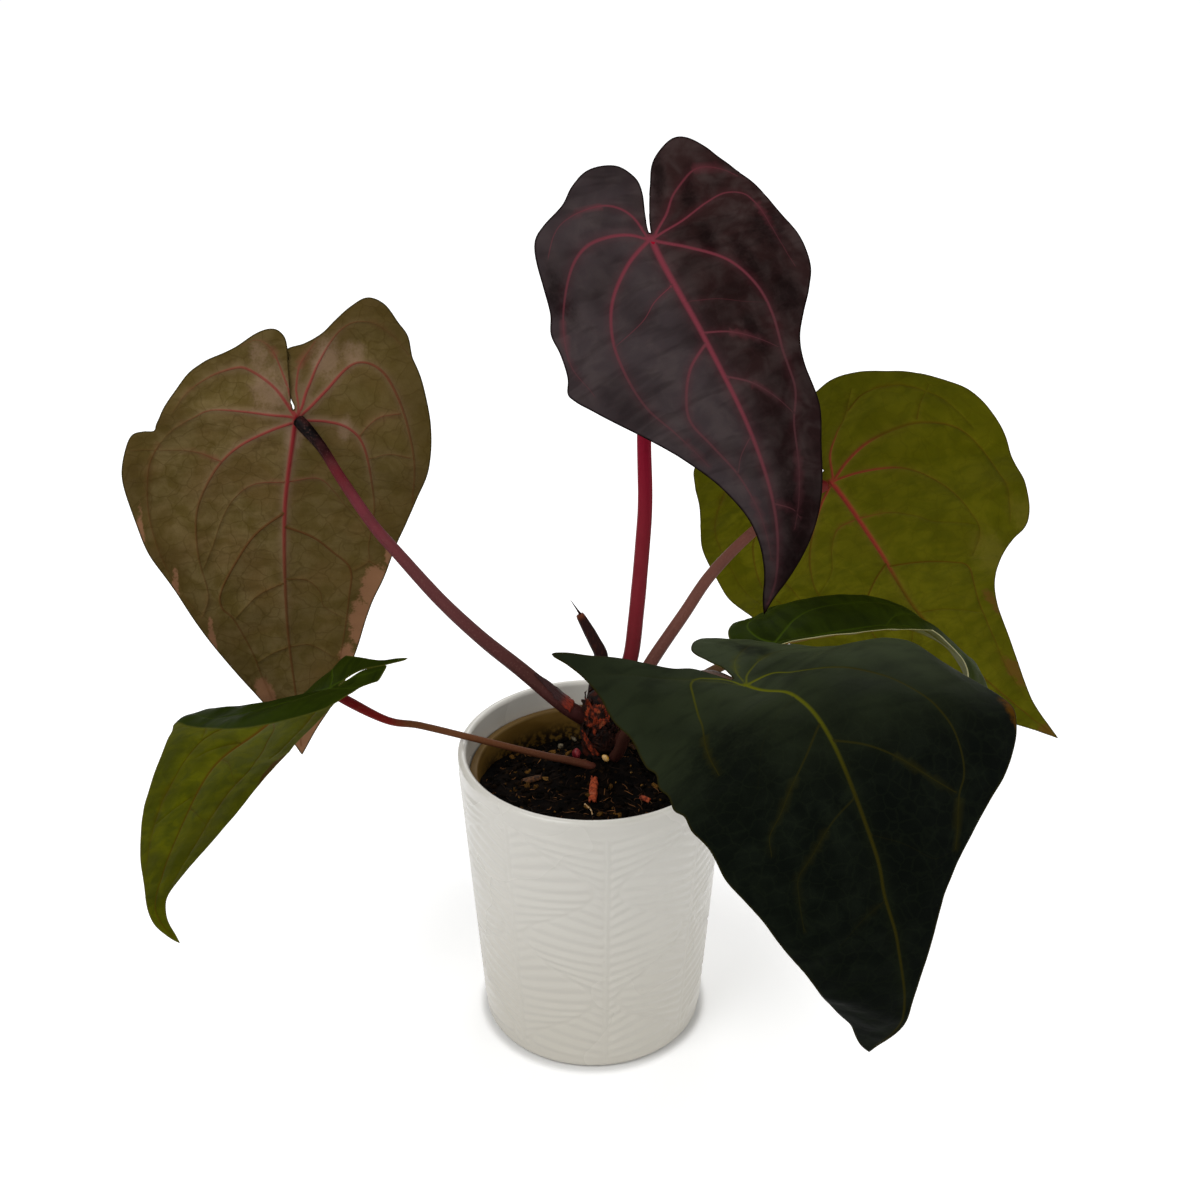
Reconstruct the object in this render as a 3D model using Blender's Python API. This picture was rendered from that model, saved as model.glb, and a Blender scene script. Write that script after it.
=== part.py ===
"""Potted anthurium: a velvet-leaved plant in its nursery pot, stood in a white cachepot.

Metres, +Z up. The origin is the centre of the cachepot's base, and -Y is the front.
Leaf tables and routes are in millimetres, because that is how a leaf is measured.
"""

import math

import bmesh
import bpy
import numpy as np

MM = 0.001
GAP = 0.3 * MM  # between pieces that touch

# Cachepot
POT_HEIGHT = 0.166
POT_RIM_RADIUS = 0.070
POT_BASE_RADIUS = 0.059
POT_WALL = 0.0046
POT_FLOOR = 0.007
POT_EDGE = 0.004  # rounding of the foot

# Nursery pot
NURSERY_RIM_DROP = 0.013  # below the cachepot's rim
NURSERY_RIM_RADIUS = 0.0630
NURSERY_TOP_RADIUS = 0.0612
NURSERY_BASE_RADIUS = 0.0470
NURSERY_WALL = 0.0012
NURSERY_COLLAR = 0.010
DRAIN_HOLES = 8
DRAIN_RADIUS = 0.0035
DRAIN_CIRCLE = 0.030

# Potting mix
SOIL_LEVEL = 0.139
SOIL_FALL_BACK = 0.13  # metres down per metre towards the back
SOIL_FALL_RIGHT = 0.08
MOUND_HEIGHT = 0.014
MOUND_SPREAD = 0.018

# Stem and roots
STEM = (0.004, 0.024)
STEM_RADIUS = 0.010
STEM_TOP = 0.186
STEM_FOOT = 0.112
STEM_SHAPE = ((0.02, 0.55), (0.16, 0.95), (0.45, 1.0), (0.7, 0.98), (0.86, 0.86), (0.96, 0.60))
ROOTS = 5
# reach from the stem, share of the way to the pot's axis, rise above the stem's foot
ROOT_SHAPE = ((0.004, 0.0, 0.010), (0.014, 0.1, 0.006), (0.022, 0.5, -0.012), (0.028, 0.9, -0.042))
ROOT_RADIUS = 0.0030
ROOT_TIP_RADIUS = 0.0014
SOCKET_GAP = 0.35  # mm between a petiole and the socket that it grows from
POCKET_GAP = 0.0006  # between the stem with its roots and the potting mix

# Scales, chips and grains
SCALE_GAP = 0.0005
SCALE_THICKNESS = 0.7  # mm
CHIP_GAP = 0.0005
STRAW_RADIUS = 0.5  # mm

LEAF_THICKNESS = 1.1 * MM
LEAF_RINGS = (0.13, 0.36, 0.64, 0.85, 1.0)
LEAF_MARGIN_POINTS = 40
LEAF_HEART = (10.0, 0.0)  # mm, the point that a blade's rings grow from
YOUNG_LEAVES = ("top", "left_back")

# Every blade is a flat heart, bent over its midrib. All lengths are mm.
#   spine: points of the midrib, from behind the petiole joint to the tip; joint is its index
#   looks: (along, direction) that the upper face looks in
#   folds: (along, low rise, low bend, high rise, high bend) of the two halves, low being the
#          half with across < 0; rise in degrees, bend in degrees per cm
#   low, high: (along, across) of the two margins, from the sinus to the tip
LEAVES = {
    "left_back": {
        "spine": [(-150, 76, 380), (-152, 80, 350), (-154, 80, 318), (-166, 91, 258),
                  (-171, 96, 190), (-170, 97, 136), (-169, 94, 100)],
        "joint": 2,
        "looks": [(-60, (-0.15, 0.95, 0.1)), (0, (-0.2, 0.95, 0.15)), (220, (-0.2, 0.95, 0))],
        "folds": [(-60, 0, 0, 0, 0), (0, 0, -1, 0, -1), (220, 0, -1, 0, -1)],
        "ripple": (1.0, 46),
        "low": [(-8, -1), (-38, -2), (-50, -9), (-43, -26), (-32, -43), (-20, -60), (-4, -67),
                (11, -70), (15, -82), (34, -86), (55, -84), (85, -71), (110, -58), (140, -43),
                (190, -15)],
        "high": [(-8, 1), (-38, 1), (-48, 15), (-61, 29), (-66, 40), (-59, 50), (-44, 59),
                 (-25, 62), (-5, 67), (14, 74), (34, 74), (62, 70), (96, 59), (136, 46),
                 (165, 36), (190, 23), (207, 8)],
        "tip": (222, 0),
    },
    "top": {
        "spine": [(22, 52, 480), (25, 38, 455), (28, 20, 430), (51, -10, 394), (71, -38, 360),
                  (82, -58, 330), (84, -64, 300), (79, -66, 279)],
        "joint": 2,
        "looks": [(-60, (0.1, -0.75, 0.65)), (0, (0.1, -0.8, 0.6)), (200, (0.1, -0.95, 0.1))],
        "folds": [(-60, 0, -2, 0, -2), (0, 0, -2, 0, -2), (200, 0, -2, 0, -2)],
        "ripple": (1.0, 50),
        "low": [(-8, -1), (-27, -2), (-39, -6), (-48, -14), (-50, -22), (-46, -32), (-37, -43),
                (-29, -55), (-8, -64), (18, -67), (37, -66), (50, -59), (61, -50), (70, -42),
                (80, -37), (92, -37), (104, -34), (120, -29), (142, -20), (158, -12), (176, -4)],
        "high": [(-8, 1), (-25, 2), (-34, 8), (-37, 16), (-34, 26), (-26, 35), (-16, 41),
                 (-8, 53), (4, 57), (20, 62), (36, 65), (50, 68), (62, 64), (85, 46),
                 (108, 31), (125, 20), (148, 11), (176, 5)],
        "tip": (192, 0),
    },
    "right_back": {
        "spine": [(95, 104, 300), (112, 110, 285), (132, 115, 265), (161, 122, 222),
                  (192, 130, 172), (240, 135, 122), (284, 135, 84)],
        "joint": 2,
        "looks": [(-60, (0.2, 0.95, 0.1)), (0, (0.2, 0.95, 0.05)), (230, (0.25, 0.95, 0))],
        "folds": [(-60, 0, -1, 0, -1), (0, 0, -1, 0, -1), (230, 0, -1, 0, -1)],
        "ripple": (1.0, 52),
        "low": [(-8, -1), (-38, -4), (-55, -14), (-65, -30), (-64, -44), (-52, -57),
                (-36, -68), (-24, -79), (-5, -86), (16, -89), (36, -91), (62, -88), (90, -76),
                (120, -60), (150, -42), (180, -26), (215, -9)],
        "high": [(-8, 1), (-30, 4), (-45, 14), (-53, 26), (-54, 42), (-50, 58), (-38, 71),
                 (-22, 83), (-5, 92), (10, 96), (30, 95), (50, 94), (63, 88), (72, 79),
                 (80, 68), (92, 58), (112, 48), (144, 36), (176, 24), (210, 10)],
        "tip": (239, 0),
    },
    "front": {
        "spine": [(-8, -56, 280), (26, -90, 281), (66, -130, 279), (84, -152, 287),
                  (97, -178, 281), (113, -203, 246), (118, -209, 226), (125, -210, 202),
                  (131, -205, 160), (121, -190, 128)],
        "joint": 2,
        "looks": [(-60, (0.25, 0.3, 0.92)), (-20, (0.1, 0.1, 1)), (0, (0, 0, 1)),
                  (60, (0, -0.5, 0.85)), (120, (0.1, -0.9, 0.4)), (230, (0, -1, 0.05))],
        "folds": [(-60, 0, -2, 5, 0), (0, 6, -4, 0, -3), (60, 4, -4, 0, -3),
                  (120, 0, -3, 0, -3), (230, 0, -1, 0, -1)],
        "ripple": (1.0, 54),
        "low": [(-8, -1), (-24, -3), (-38, -8), (-46, -22), (-45, -40), (-36, -58),
                (-18, -72), (4, -82), (30, -90), (56, -92), (74, -89), (90, -82), (98, -71),
                (107, -55), (116, -38), (133, -28), (150, -18), (187, -4)],
        "high": [(-8, 1), (-20, 3), (-29, 16), (-38, 32), (-44, 48), (-46, 66), (-43, 76),
                 (-28, 67), (-10, 65), (8, 68), (34, 71), (58, 71), (80, 65), (96, 60),
                 (122, 55), (136, 46), (158, 40), (211, 24), (229, 8)],
        "tip": (233, 0),
    },
    "low_left": {
        "spine": [(-90, -22, 222), (-112, -16, 214), (-134, 0, 201), (-159, 25, 176),
                  (-181, 38, 152), (-210, 45, 124), (-232, 44, 84), (-247, 40, 48),
                  (-250, 37, 28), (-236, 30, 13)],
        "joint": 2,
        "looks": [(-60, (-0.3, 0.1, 0.95)), (0, (-0.35, 0.35, 0.87)), (60, (-0.38, 0.7, 0.6)),
                  (120, (-0.6, 0.7, 0.35)), (240, (-0.8, 0.6, 0))],
        "folds": [(-60, 26, -3, 26, -14), (-28, 9, -5, 38, -14), (0, 12, -5, 50, -14),
                  (60, 22, -6, 20, -5), (100, 20, -5, 0, -1), (150, 5, -2, 0, -1), (240, 0, 0, 0, 0)],
        "ripple": (0.5, 48),
        "low": [(-8, -1), (-30, -3), (-45, -7), (-45, -16), (-34, -28), (-16, -43),
                (8, -55), (28, -58), (50, -62), (66, -61), (80, -55), (96, -47), (114, -38),
                (132, -34), (152, -31), (184, -20), (215, -10)],
        "high": [(-8, 1), (-30, 3), (-47, 5), (-50, 10), (-37, 15), (-20, 17), (0, 21), (18, 28),
                 (38, 38), (60, 44), (92, 43), (112, 46), (130, 46), (152, 41), (180, 32),
                 (200, 22), (218, 11)],
        "tip": (246, 0),
    },
    "right": {
        "spine": [(60, -36, 236), (89, -30, 243), (109, -22, 243), (127, -14, 242),
                  (148, -6, 240), (168, 2, 233), (186, 10, 218), (205, 18, 195), (213, 24, 165)],
        "joint": 1,
        "looks": [(-60, (0, 0, 1)), (0, (0, 0, 1)), (100, (0.4, 0, 0.9)), (170, (0.9, 0.1, 0.3))],
        "folds": [(-60, 18, -10, 26, 0), (0, 18, -10, 31, 1), (75, 12, -9, 32, 0),
                  (105, 4, -8, 8, -4), (130, 0, -7, -25, -4), (170, -10, -5, -40, -2)],
        "ripple": (0.5, 40),
        "low": [(-8, -1), (-16, -4), (-19, -12), (-18, -22), (-13, -32), (-4, -42), (9, -51),
                (28, -58), (50, -59), (76, -53), (100, -42), (125, -28), (150, -13)],
        "high": [(-8, 1), (-19, 3), (-24, 9), (-20, 17), (-9, 24), (8, 32), (30, 42),
                 (54, 47), (80, 46), (105, 37), (130, 24), (152, 11)],
        "tip": (174, 0),
    },
}

# Petiole routes from inside the stem to just under the blade, mm, with radii along them.
PETIOLES = {
    "left_back": ([(-4, 23, 169), (-16, 20, 180), (-37, 24, 198), (-58, 30, 214),
                   (-79, 38, 232), (-100, 48, 253), (-114, 56, 267), (-130, 65, 289),
                   (-140, 70, 305), (-152, 77.4, 317)], (4.4, 3.8, 2.6)),
    "top": ([(8, 26, 175), (14, 28.5, 188), (20, 30, 201), (23, 33, 226), (26, 36, 266),
             (27, 37, 290), (26, 36, 327), (26, 34, 381), (28, 31, 410), (28.4, 21.6, 428.9)],
            (4.2, 3.7, 2.6)),
    "right_back": ([(10, 24, 163), (21, 25.5, 180), (31, 30, 199), (48, 40, 222), (63, 52, 240),
                    (85, 72, 254), (107, 94, 260), (128, 112.6, 263.5)], (3.8, 3.1, 2.4)),
    "front": ([(9, 20, 144), (13.5, 12, 154), (18, 0, 174), (28, -24, 206), (40, -55, 236),
               (53, -92, 262), (64, -126, 275.7)], (3.2, 2.9, 2.4)),
    "low_left": ([(3, 17, 139), (-1, 9.5, 147.5), (-12, 8, 152), (-26, 7, 156), (-59, 5, 167),
                  (-89, 3, 177), (-107, 1, 182), (-133.8, 0.4, 198.9)], (2.4, 1.9, 2.8)),
    "right": ([(10, 21, 154), (21, 13, 169), (36, 3, 190), (56, -10, 214), (76, -23, 233),
               (89, -30, 240.1)], (3.0, 2.6, 2.2)),
}
IN_THE_SOIL = ("front", "low_left")  # petioles whose foot starts below the potting mix
PETIOLE_STEP = 12  # mm between a petiole's rings
NEW_LEAF = [(0, 30, 172), (2, 34.5, 187), (3, 36, 201), (-2, 37.5, 214), (-7, 39, 224), (-13, 40, 231)]
NEW_LEAF_RADII = (3.4, 3.6, 3.4, 2.6, 0.7)
STRAW = [(-4, -20), (-1, -25), (0, -31)]

COLOURS = {
    "glaze": ((0.80, 0.79, 0.77), 0.25),
    "nursery_plastic": ((0.16, 0.10, 0.05), 0.5),
    "potting_mix": ((0.03, 0.022, 0.016), 0.95),
    "stem": ((0.16, 0.06, 0.04), 0.7),
    "old_leaf": ((0.03, 0.06, 0.03), 0.5),
    "young_leaf": ((0.05, 0.03, 0.035), 0.45),
    "petiole": ((0.20, 0.06, 0.06), 0.45),
    "sheath": ((0.42, 0.10, 0.05), 0.7),
    "bark": ((0.45, 0.14, 0.07), 0.85),
    "perlite": ((0.82, 0.80, 0.74), 0.9),
    "straw": ((0.50, 0.36, 0.20), 0.8),
    "bead": ((0.80, 0.62, 0.20), 0.4),
}


def clear_scene():
    for obj in list(bpy.data.objects):
        bpy.data.objects.remove(obj)


def material(name):
    found = bpy.data.materials.get(name)
    if found:
        return found
    colour, roughness = COLOURS[name]
    made = bpy.data.materials.new(name)
    made.use_nodes = True
    shader = made.node_tree.nodes["Principled BSDF"]
    shader.inputs["Base Color"].default_value = (*colour, 1)
    shader.inputs["Roughness"].default_value = roughness
    shader.inputs["Metallic"].default_value = 0
    made.diffuse_color = (*colour, 1)
    return made


def add_object(name, mesh, finish):
    obj = bpy.data.objects.new(name, mesh)
    bpy.context.scene.collection.objects.link(obj)
    mesh.materials.append(material(finish))
    return obj


def mesh_from(name, verts, faces):
    mesh = bpy.data.meshes.new(name)
    mesh.from_pydata([tuple(v) for v in verts], [], faces)
    bm = bmesh.new()
    bm.from_mesh(mesh)
    bmesh.ops.recalc_face_normals(bm, faces=bm.faces)
    bm.to_mesh(mesh)
    bm.free()
    return mesh


def turned(name, profile, steps, finish):
    """A solid of revolution about Z from a profile that starts and ends on the axis."""
    bm = bmesh.new()
    verts = [bm.verts.new((radius, 0, height)) for radius, height in profile]
    edges = [bm.edges.new(pair) for pair in zip(verts, verts[1:])]
    bmesh.ops.spin(bm, geom=verts + edges, axis=(0, 0, 1), cent=(0, 0, 0), dvec=(0, 0, 0),
                   angle=2 * math.pi, steps=steps)
    bmesh.ops.remove_doubles(bm, verts=bm.verts, dist=1e-6)
    bmesh.ops.recalc_face_normals(bm, faces=bm.faces)
    mesh = bpy.data.meshes.new(name)
    bm.to_mesh(mesh)
    bm.free()
    mesh.shade_smooth()
    mesh.set_sharp_from_angle(angle=math.radians(35))
    return add_object(name, mesh, finish)


def smooth_line(points, per_span):
    """Points of a Catmull-Rom curve through the given ones."""
    given = np.asarray(points, float)
    ends = np.vstack([2 * given[0] - given[1], given, 2 * given[-1] - given[-2]])
    share = np.linspace(0, 1, per_span, endpoint=False)[:, None]
    line = []
    for a, b, c, d in zip(ends, ends[1:], ends[2:], ends[3:]):
        line.append(0.5 * (2 * b + (c - a) * share + (2 * a - 5 * b + 4 * c - d) * share**2
                           + (3 * b - a - 3 * c + d) * share**3))
    return np.vstack(line + [given[-1]])


def unit(vectors):
    return vectors / np.linalg.norm(vectors, axis=-1)[..., None]


def lengths_along(line):
    return np.concatenate([[0], np.cumsum(np.linalg.norm(np.diff(line, axis=0), axis=1))])


class Blade:
    """The bent surface of a leaf: at(along, across) gives points in mm."""

    SPAN = 24

    def __init__(self, shape):
        self.shape = shape
        self.line = smooth_line(shape["spine"], self.SPAN)
        travelled = lengths_along(self.line)
        self.along = travelled - travelled[shape["joint"] * self.SPAN]
        self.heading = unit(np.gradient(self.line, self.along, axis=0))

    def _read(self, along, table):
        columns = [np.interp(along, self.along, table[:, i]) for i in range(3)]
        return np.stack(columns, -1)

    def _fold(self, along, across, low, high):
        stations = [row[0] for row in self.shape["folds"]]
        read_low = np.interp(along, stations, [row[low] for row in self.shape["folds"]])
        read_high = np.interp(along, stations, [row[high] for row in self.shape["folds"]])
        return np.radians(np.where(across > 0, read_high, read_low))

    def at(self, along, across):
        along = np.asarray(along, float)
        across = np.asarray(across, float)
        held = np.clip(along, self.along[0], self.along[-1])
        heading = unit(self._read(held, self.heading))
        middle = self._read(held, self.line) + heading * (along - held)[..., None]
        stations = [row[0] for row in self.shape["looks"]]
        looks = np.array([row[1] for row in self.shape["looks"]], float)
        up = np.stack([np.interp(along, stations, looks[:, i]) for i in range(3)], -1)
        aside = unit(np.cross(heading, up))
        up = np.cross(aside, heading)
        rise = self._fold(along, across, 1, 3)
        bend = self._fold(along, across, 2, 4) / 10
        bend = np.where(np.abs(bend) < 1e-6, 1e-6, bend)
        reach = np.abs(across)
        out = (np.sin(rise + bend * reach) - np.sin(rise)) / bend * np.sign(across)
        lift = (np.cos(rise) - np.cos(rise + bend * reach)) / bend
        height, wave = self.shape["ripple"]
        phase = 2 * math.pi * along / wave + np.where(across > 0, 1.9, 0.0)
        lift = lift + height * np.sin(phase) * (reach / 60) ** 2
        return middle + aside * out[..., None] + up * lift[..., None]

    def outline(self, count):
        """Evenly spaced (along, across) points round the margin, from the tip and back to it."""
        shape = self.shape
        low = smooth_line([*shape["low"], shape["tip"]], 8)
        high = smooth_line([*shape["high"], shape["tip"]], 8)
        loop = np.vstack([low[::-1], high[:-1]])
        closed = np.vstack([loop, loop[:1]])
        travelled = lengths_along(closed)
        wanted = np.linspace(0, travelled[-1], count, endpoint=False)
        return np.stack([np.interp(wanted, travelled, closed[:, i]) for i in range(2)], -1)


def leaf_blade(name, shape, finish):
    """A closed leaf: rings grown from the petiole joint to the margin, then thickened."""
    blade = Blade(shape)
    outline = blade.outline(LEAF_MARGIN_POINTS)
    heart = np.array(LEAF_HEART)
    flat = np.vstack([heart[None]] + [heart + (outline - heart) * ring for ring in LEAF_RINGS])
    points = blade.at(flat[:, 0], flat[:, 1]) * MM
    count = len(outline)
    faces = [(0, 1 + i, 1 + (i + 1) % count) for i in range(count)]
    for ring in range(len(LEAF_RINGS) - 1):
        inner = 1 + ring * count
        outer = inner + count
        for i in range(count):
            j = (i + 1) % count
            faces.append((inner + i, outer + i, outer + j, inner + j))
    mesh = mesh_from(name, points, faces)
    mesh.shade_smooth()
    obj = add_object(name, mesh, finish)
    thick = obj.modifiers.new("thickness", "SOLIDIFY")
    thick.thickness = LEAF_THICKNESS
    thick.offset = 0
    return obj


def rings_along(route, radii, spacing):
    """Centres (mm) and radii of evenly spaced rings along a smooth curve through the route."""
    line = smooth_line(route, 16)
    travelled = lengths_along(line)
    count = max(4, round(travelled[-1] / spacing) + 1)
    wanted = np.linspace(0, travelled[-1], count)
    centres = np.stack([np.interp(wanted, travelled, line[:, i]) for i in range(3)], -1)
    shares = np.linspace(0, 1, len(radii))
    return centres, np.interp(wanted / travelled[-1], shares, radii)


def tube(name, centres, radii, finish, extra=0.0):
    """A round closed tube (mm); extra makes it that much wider, and longer at both ends."""
    centres = centres.copy()
    centres[0] += unit(centres[0] - centres[1]) * extra
    centres[-1] += unit(centres[-1] - centres[-2]) * extra
    curve = bpy.data.curves.new(name, "CURVE")
    curve.dimensions = "3D"
    curve.bevel_depth = MM
    curve.bevel_resolution = 2
    curve.use_fill_caps = True
    spline = curve.splines.new("POLY")
    spline.points.add(len(centres) - 1)
    for point, place, radius in zip(spline.points, centres, radii):
        point.co = (*(place * MM), 1)
        point.radius = radius + extra
    obj = bpy.data.objects.new(name, curve)
    bpy.context.scene.collection.objects.link(obj)
    curve.materials.append(material(finish))
    return obj


def as_cutter(obj):
    obj.hide_render = True
    obj.display_type = "WIRE"
    return obj


def meshed(obj):
    """The same object as a mesh, because a Boolean takes no curve."""
    graph = bpy.context.evaluated_depsgraph_get()
    mesh = bpy.data.meshes.new_from_object(obj.evaluated_get(graph))
    name = obj.name
    bm = bmesh.new()
    bm.from_mesh(mesh)
    bmesh.ops.remove_doubles(bm, verts=bm.verts, dist=1e-6)
    bmesh.ops.recalc_face_normals(bm, faces=bm.faces)
    bm.to_mesh(mesh)
    bm.free()
    bpy.data.objects.remove(obj)
    made = bpy.data.objects.new(name, mesh)
    bpy.context.scene.collection.objects.link(made)
    return made


def combine(obj, other, operation):
    step = obj.modifiers.new(f"{operation.lower()} {other.name}", "BOOLEAN")
    step.operation = operation
    step.object = other
    as_cutter(other)


def cachepot():
    rim = POT_HEIGHT
    inner_rim = POT_RIM_RADIUS - POT_WALL
    inner_base = POT_BASE_RADIUS - POT_WALL
    lip = POT_WALL / 2
    profile = [(0, 0), (POT_BASE_RADIUS - POT_EDGE, 0)]
    for angle in (30, 60, 90):
        turn = math.radians(angle)
        profile.append((POT_BASE_RADIUS - POT_EDGE + POT_EDGE * math.sin(turn),
                        POT_EDGE - POT_EDGE * math.cos(turn)))
    profile.append((POT_RIM_RADIUS - 0.0004, rim - 0.008))
    for angle in (0, 45, 90, 135, 180):
        turn = math.radians(angle)
        profile.append((POT_RIM_RADIUS - lip + lip * math.cos(turn),
                        rim - lip + lip * math.sin(turn)))
    profile.append((inner_rim - 0.0004, rim - 0.009))
    profile.append((inner_base, POT_FLOOR + POT_EDGE))
    profile.append((inner_base - POT_EDGE, POT_FLOOR))
    profile.append((0, POT_FLOOR))
    return turned("cachepot", profile, 56, "glaze")


def nursery_top():
    return POT_HEIGHT - NURSERY_RIM_DROP


def nursery_foot():
    return POT_FLOOR + GAP


def nursery_inner_radius(height):
    """Inside radius of the nursery pot's tapered wall."""
    share = (height - nursery_foot()) / (nursery_top() - nursery_foot())
    outer = NURSERY_BASE_RADIUS + (NURSERY_TOP_RADIUS - NURSERY_BASE_RADIUS) * share
    return outer - NURSERY_WALL


def nursery_pot():
    top = nursery_top()
    foot = nursery_foot()
    collar = top - NURSERY_COLLAR
    floor = foot + NURSERY_WALL
    profile = [
        (0, foot),
        (NURSERY_BASE_RADIUS, foot),
        (nursery_inner_radius(collar) + NURSERY_WALL, collar),
        (NURSERY_RIM_RADIUS - 0.0006, collar + 0.0008),
        (NURSERY_RIM_RADIUS, top - 0.0010),
        (NURSERY_RIM_RADIUS - 0.0006, top),
        (nursery_inner_radius(top) + 0.0002, top),
        (nursery_inner_radius(top), top - 0.0008),
        (nursery_inner_radius(floor), floor),
        (0, floor),
    ]
    pot = turned("nursery_pot", profile, 48, "nursery_plastic")
    bm = bmesh.new()
    for i in range(DRAIN_HOLES):
        turn = 2 * math.pi * i / DRAIN_HOLES
        made = bmesh.ops.create_cone(bm, cap_ends=True, segments=10, radius1=DRAIN_RADIUS,
                                     radius2=DRAIN_RADIUS, depth=0.010)
        bmesh.ops.translate(bm, verts=made["verts"],
                            vec=(DRAIN_CIRCLE * math.cos(turn), DRAIN_CIRCLE * math.sin(turn), foot))
    drill = bpy.data.meshes.new("drain_drill")
    bm.to_mesh(drill)
    bm.free()
    combine(pot, add_object("drain_drill", drill, "nursery_plastic"), "DIFFERENCE")
    return pot


def soil_height(x, y):
    """Top of the potting mix: a slope that falls to the back, a mound at the stem, low lumps."""
    mound = MOUND_HEIGHT * np.exp(-((x - STEM[0]) ** 2 + (y - STEM[1]) ** 2) / (2 * MOUND_SPREAD**2))
    lumps = 0.0007 * np.sin(x * 210 + 1) * np.sin(y * 190 + 2)
    return SOIL_LEVEL - SOIL_FALL_BACK * y - SOIL_FALL_RIGHT * x + mound + lumps


def potting_mix():
    around = 48
    rings = (0.16, 0.32, 0.48, 0.64, 0.78, 0.90, 1.0)
    clearance = 0.0004
    verts = [(0, 0, float(soil_height(0, 0)))]
    for ring in rings:
        for i in range(around):
            turn = 2 * math.pi * i / around
            radius = 0.058 * ring
            if ring == 1.0:
                height = soil_height(radius * math.cos(turn), radius * math.sin(turn))
                radius = nursery_inner_radius(height) - clearance
            x = radius * math.cos(turn)
            y = radius * math.sin(turn)
            verts.append((x, y, float(soil_height(x, y))))
    floor = nursery_foot() + NURSERY_WALL + GAP
    for i in range(around):
        turn = 2 * math.pi * i / around
        radius = nursery_inner_radius(floor) - clearance
        verts.append((radius * math.cos(turn), radius * math.sin(turn), floor))
    verts.append((0, 0, floor))
    faces = [(0, 1 + i, 1 + (i + 1) % around) for i in range(around)]
    for ring in range(len(rings)):
        inner = 1 + ring * around
        for i in range(around):
            j = (i + 1) % around
            faces.append((inner + i, inner + around + i, inner + around + j, inner + j))
    last = len(verts) - 1
    outer = 1 + len(rings) * around
    faces += [(outer + i, last, outer + (i + 1) % around) for i in range(around)]
    return add_object("potting_mix", mesh_from("potting_mix", verts, faces), "potting_mix")


def stem_radius(height):
    """Radius of the short stem at a height."""
    share = (height - STEM_FOOT) / (STEM_TOP - STEM_FOOT)
    levels, shares = zip(*STEM_SHAPE)
    return STEM_RADIUS * float(np.interp(share, levels, shares))


def stem_solid(name, extra):
    """The short stem with its roots; extra widens it, for the pocket that it fills."""
    profile = [(0, STEM_FOOT - extra)]
    for level, share in STEM_SHAPE:
        profile.append((STEM_RADIUS * share + extra, STEM_FOOT + (STEM_TOP - STEM_FOOT) * level))
    profile.append((0, STEM_TOP + extra))
    stem = turned(name, profile, 18, "stem")
    stem.location = (*STEM, 0)
    bpy.context.view_layer.update()
    for i in range(ROOTS):
        turn = 2 * math.pi * (i + 0.3) / ROOTS
        route = []
        for reach, inward, rise in ROOT_SHAPE:
            x = STEM[0] * (1 - inward) + reach * math.cos(turn)
            y = STEM[1] * (1 - inward) + reach * math.sin(turn)
            route.append((x / MM, y / MM, (STEM_FOOT + rise) / MM))
        rings = rings_along(route, (ROOT_RADIUS / MM, ROOT_RADIUS / MM, ROOT_TIP_RADIUS / MM), 9)
        root = tube(f"{name}_root_{i + 1}", *rings, "stem", extra / MM)
        combine(stem, meshed(root), "UNION")
    return stem


def shell(name, centres, headings, inner, middles, halves, finish):
    """A thin curved scale (mm) that hugs a round core.

    At each centre it spans the angle 2 * half about the middle direction, on radius inner.
    """
    across = 5
    rows = []
    for centre, heading, radius, middle, half in zip(centres, headings, inner, middles, halves):
        heading = unit(np.asarray(heading, float))
        middle = np.asarray(middle, float)
        middle = unit(middle - heading * np.dot(middle, heading))
        side = np.cross(heading, middle)
        row = []
        for turn in np.radians(np.linspace(-half, half, across)):
            outward = middle * math.cos(turn) + side * math.sin(turn)
            row.append((centre + outward * radius, centre + outward * (radius + SCALE_THICKNESS)))
        rows.append(row)
    inside = [point[0] for row in rows for point in row]
    outside = [point[1] for row in rows for point in row]
    verts = np.array(inside + outside) * MM
    shift = len(inside)
    faces = []
    for i in range(len(rows) - 1):
        for j in range(across - 1):
            a = i * across + j
            quad = (a, a + 1, a + across + 1, a + across)
            faces.append(quad)
            faces.append(tuple(v + shift for v in reversed(quad)))
    rim = [j for j in range(across)]
    rim += [i * across + across - 1 for i in range(1, len(rows))]
    rim += [(len(rows) - 1) * across + j for j in range(across - 2, -1, -1)]
    rim += [i * across for i in range(len(rows) - 2, 0, -1)]
    for a, b in zip(rim, rim[1:] + rim[:1]):
        faces.append((a, b, b + shift, a + shift))
    return add_object(name, mesh_from(name, verts, faces), finish)


def stem_scale(name, low, high, azimuths, halves):
    """A dry leaf scale on the stem, from the height low to high (metres)."""
    count = len(halves)
    heights = np.linspace(low, high, count)
    turns = np.radians(np.linspace(azimuths[0], azimuths[-1], count))
    centres = [np.array([STEM[0], STEM[1], height]) / MM for height in heights]
    inner = [(stem_radius(height) + SCALE_GAP) / MM for height in heights]
    middles = [(math.cos(turn), math.sin(turn), 0) for turn in turns]
    shell(name, centres, [(0, 0, 1)] * count, inner, middles, halves, "sheath")


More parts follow.
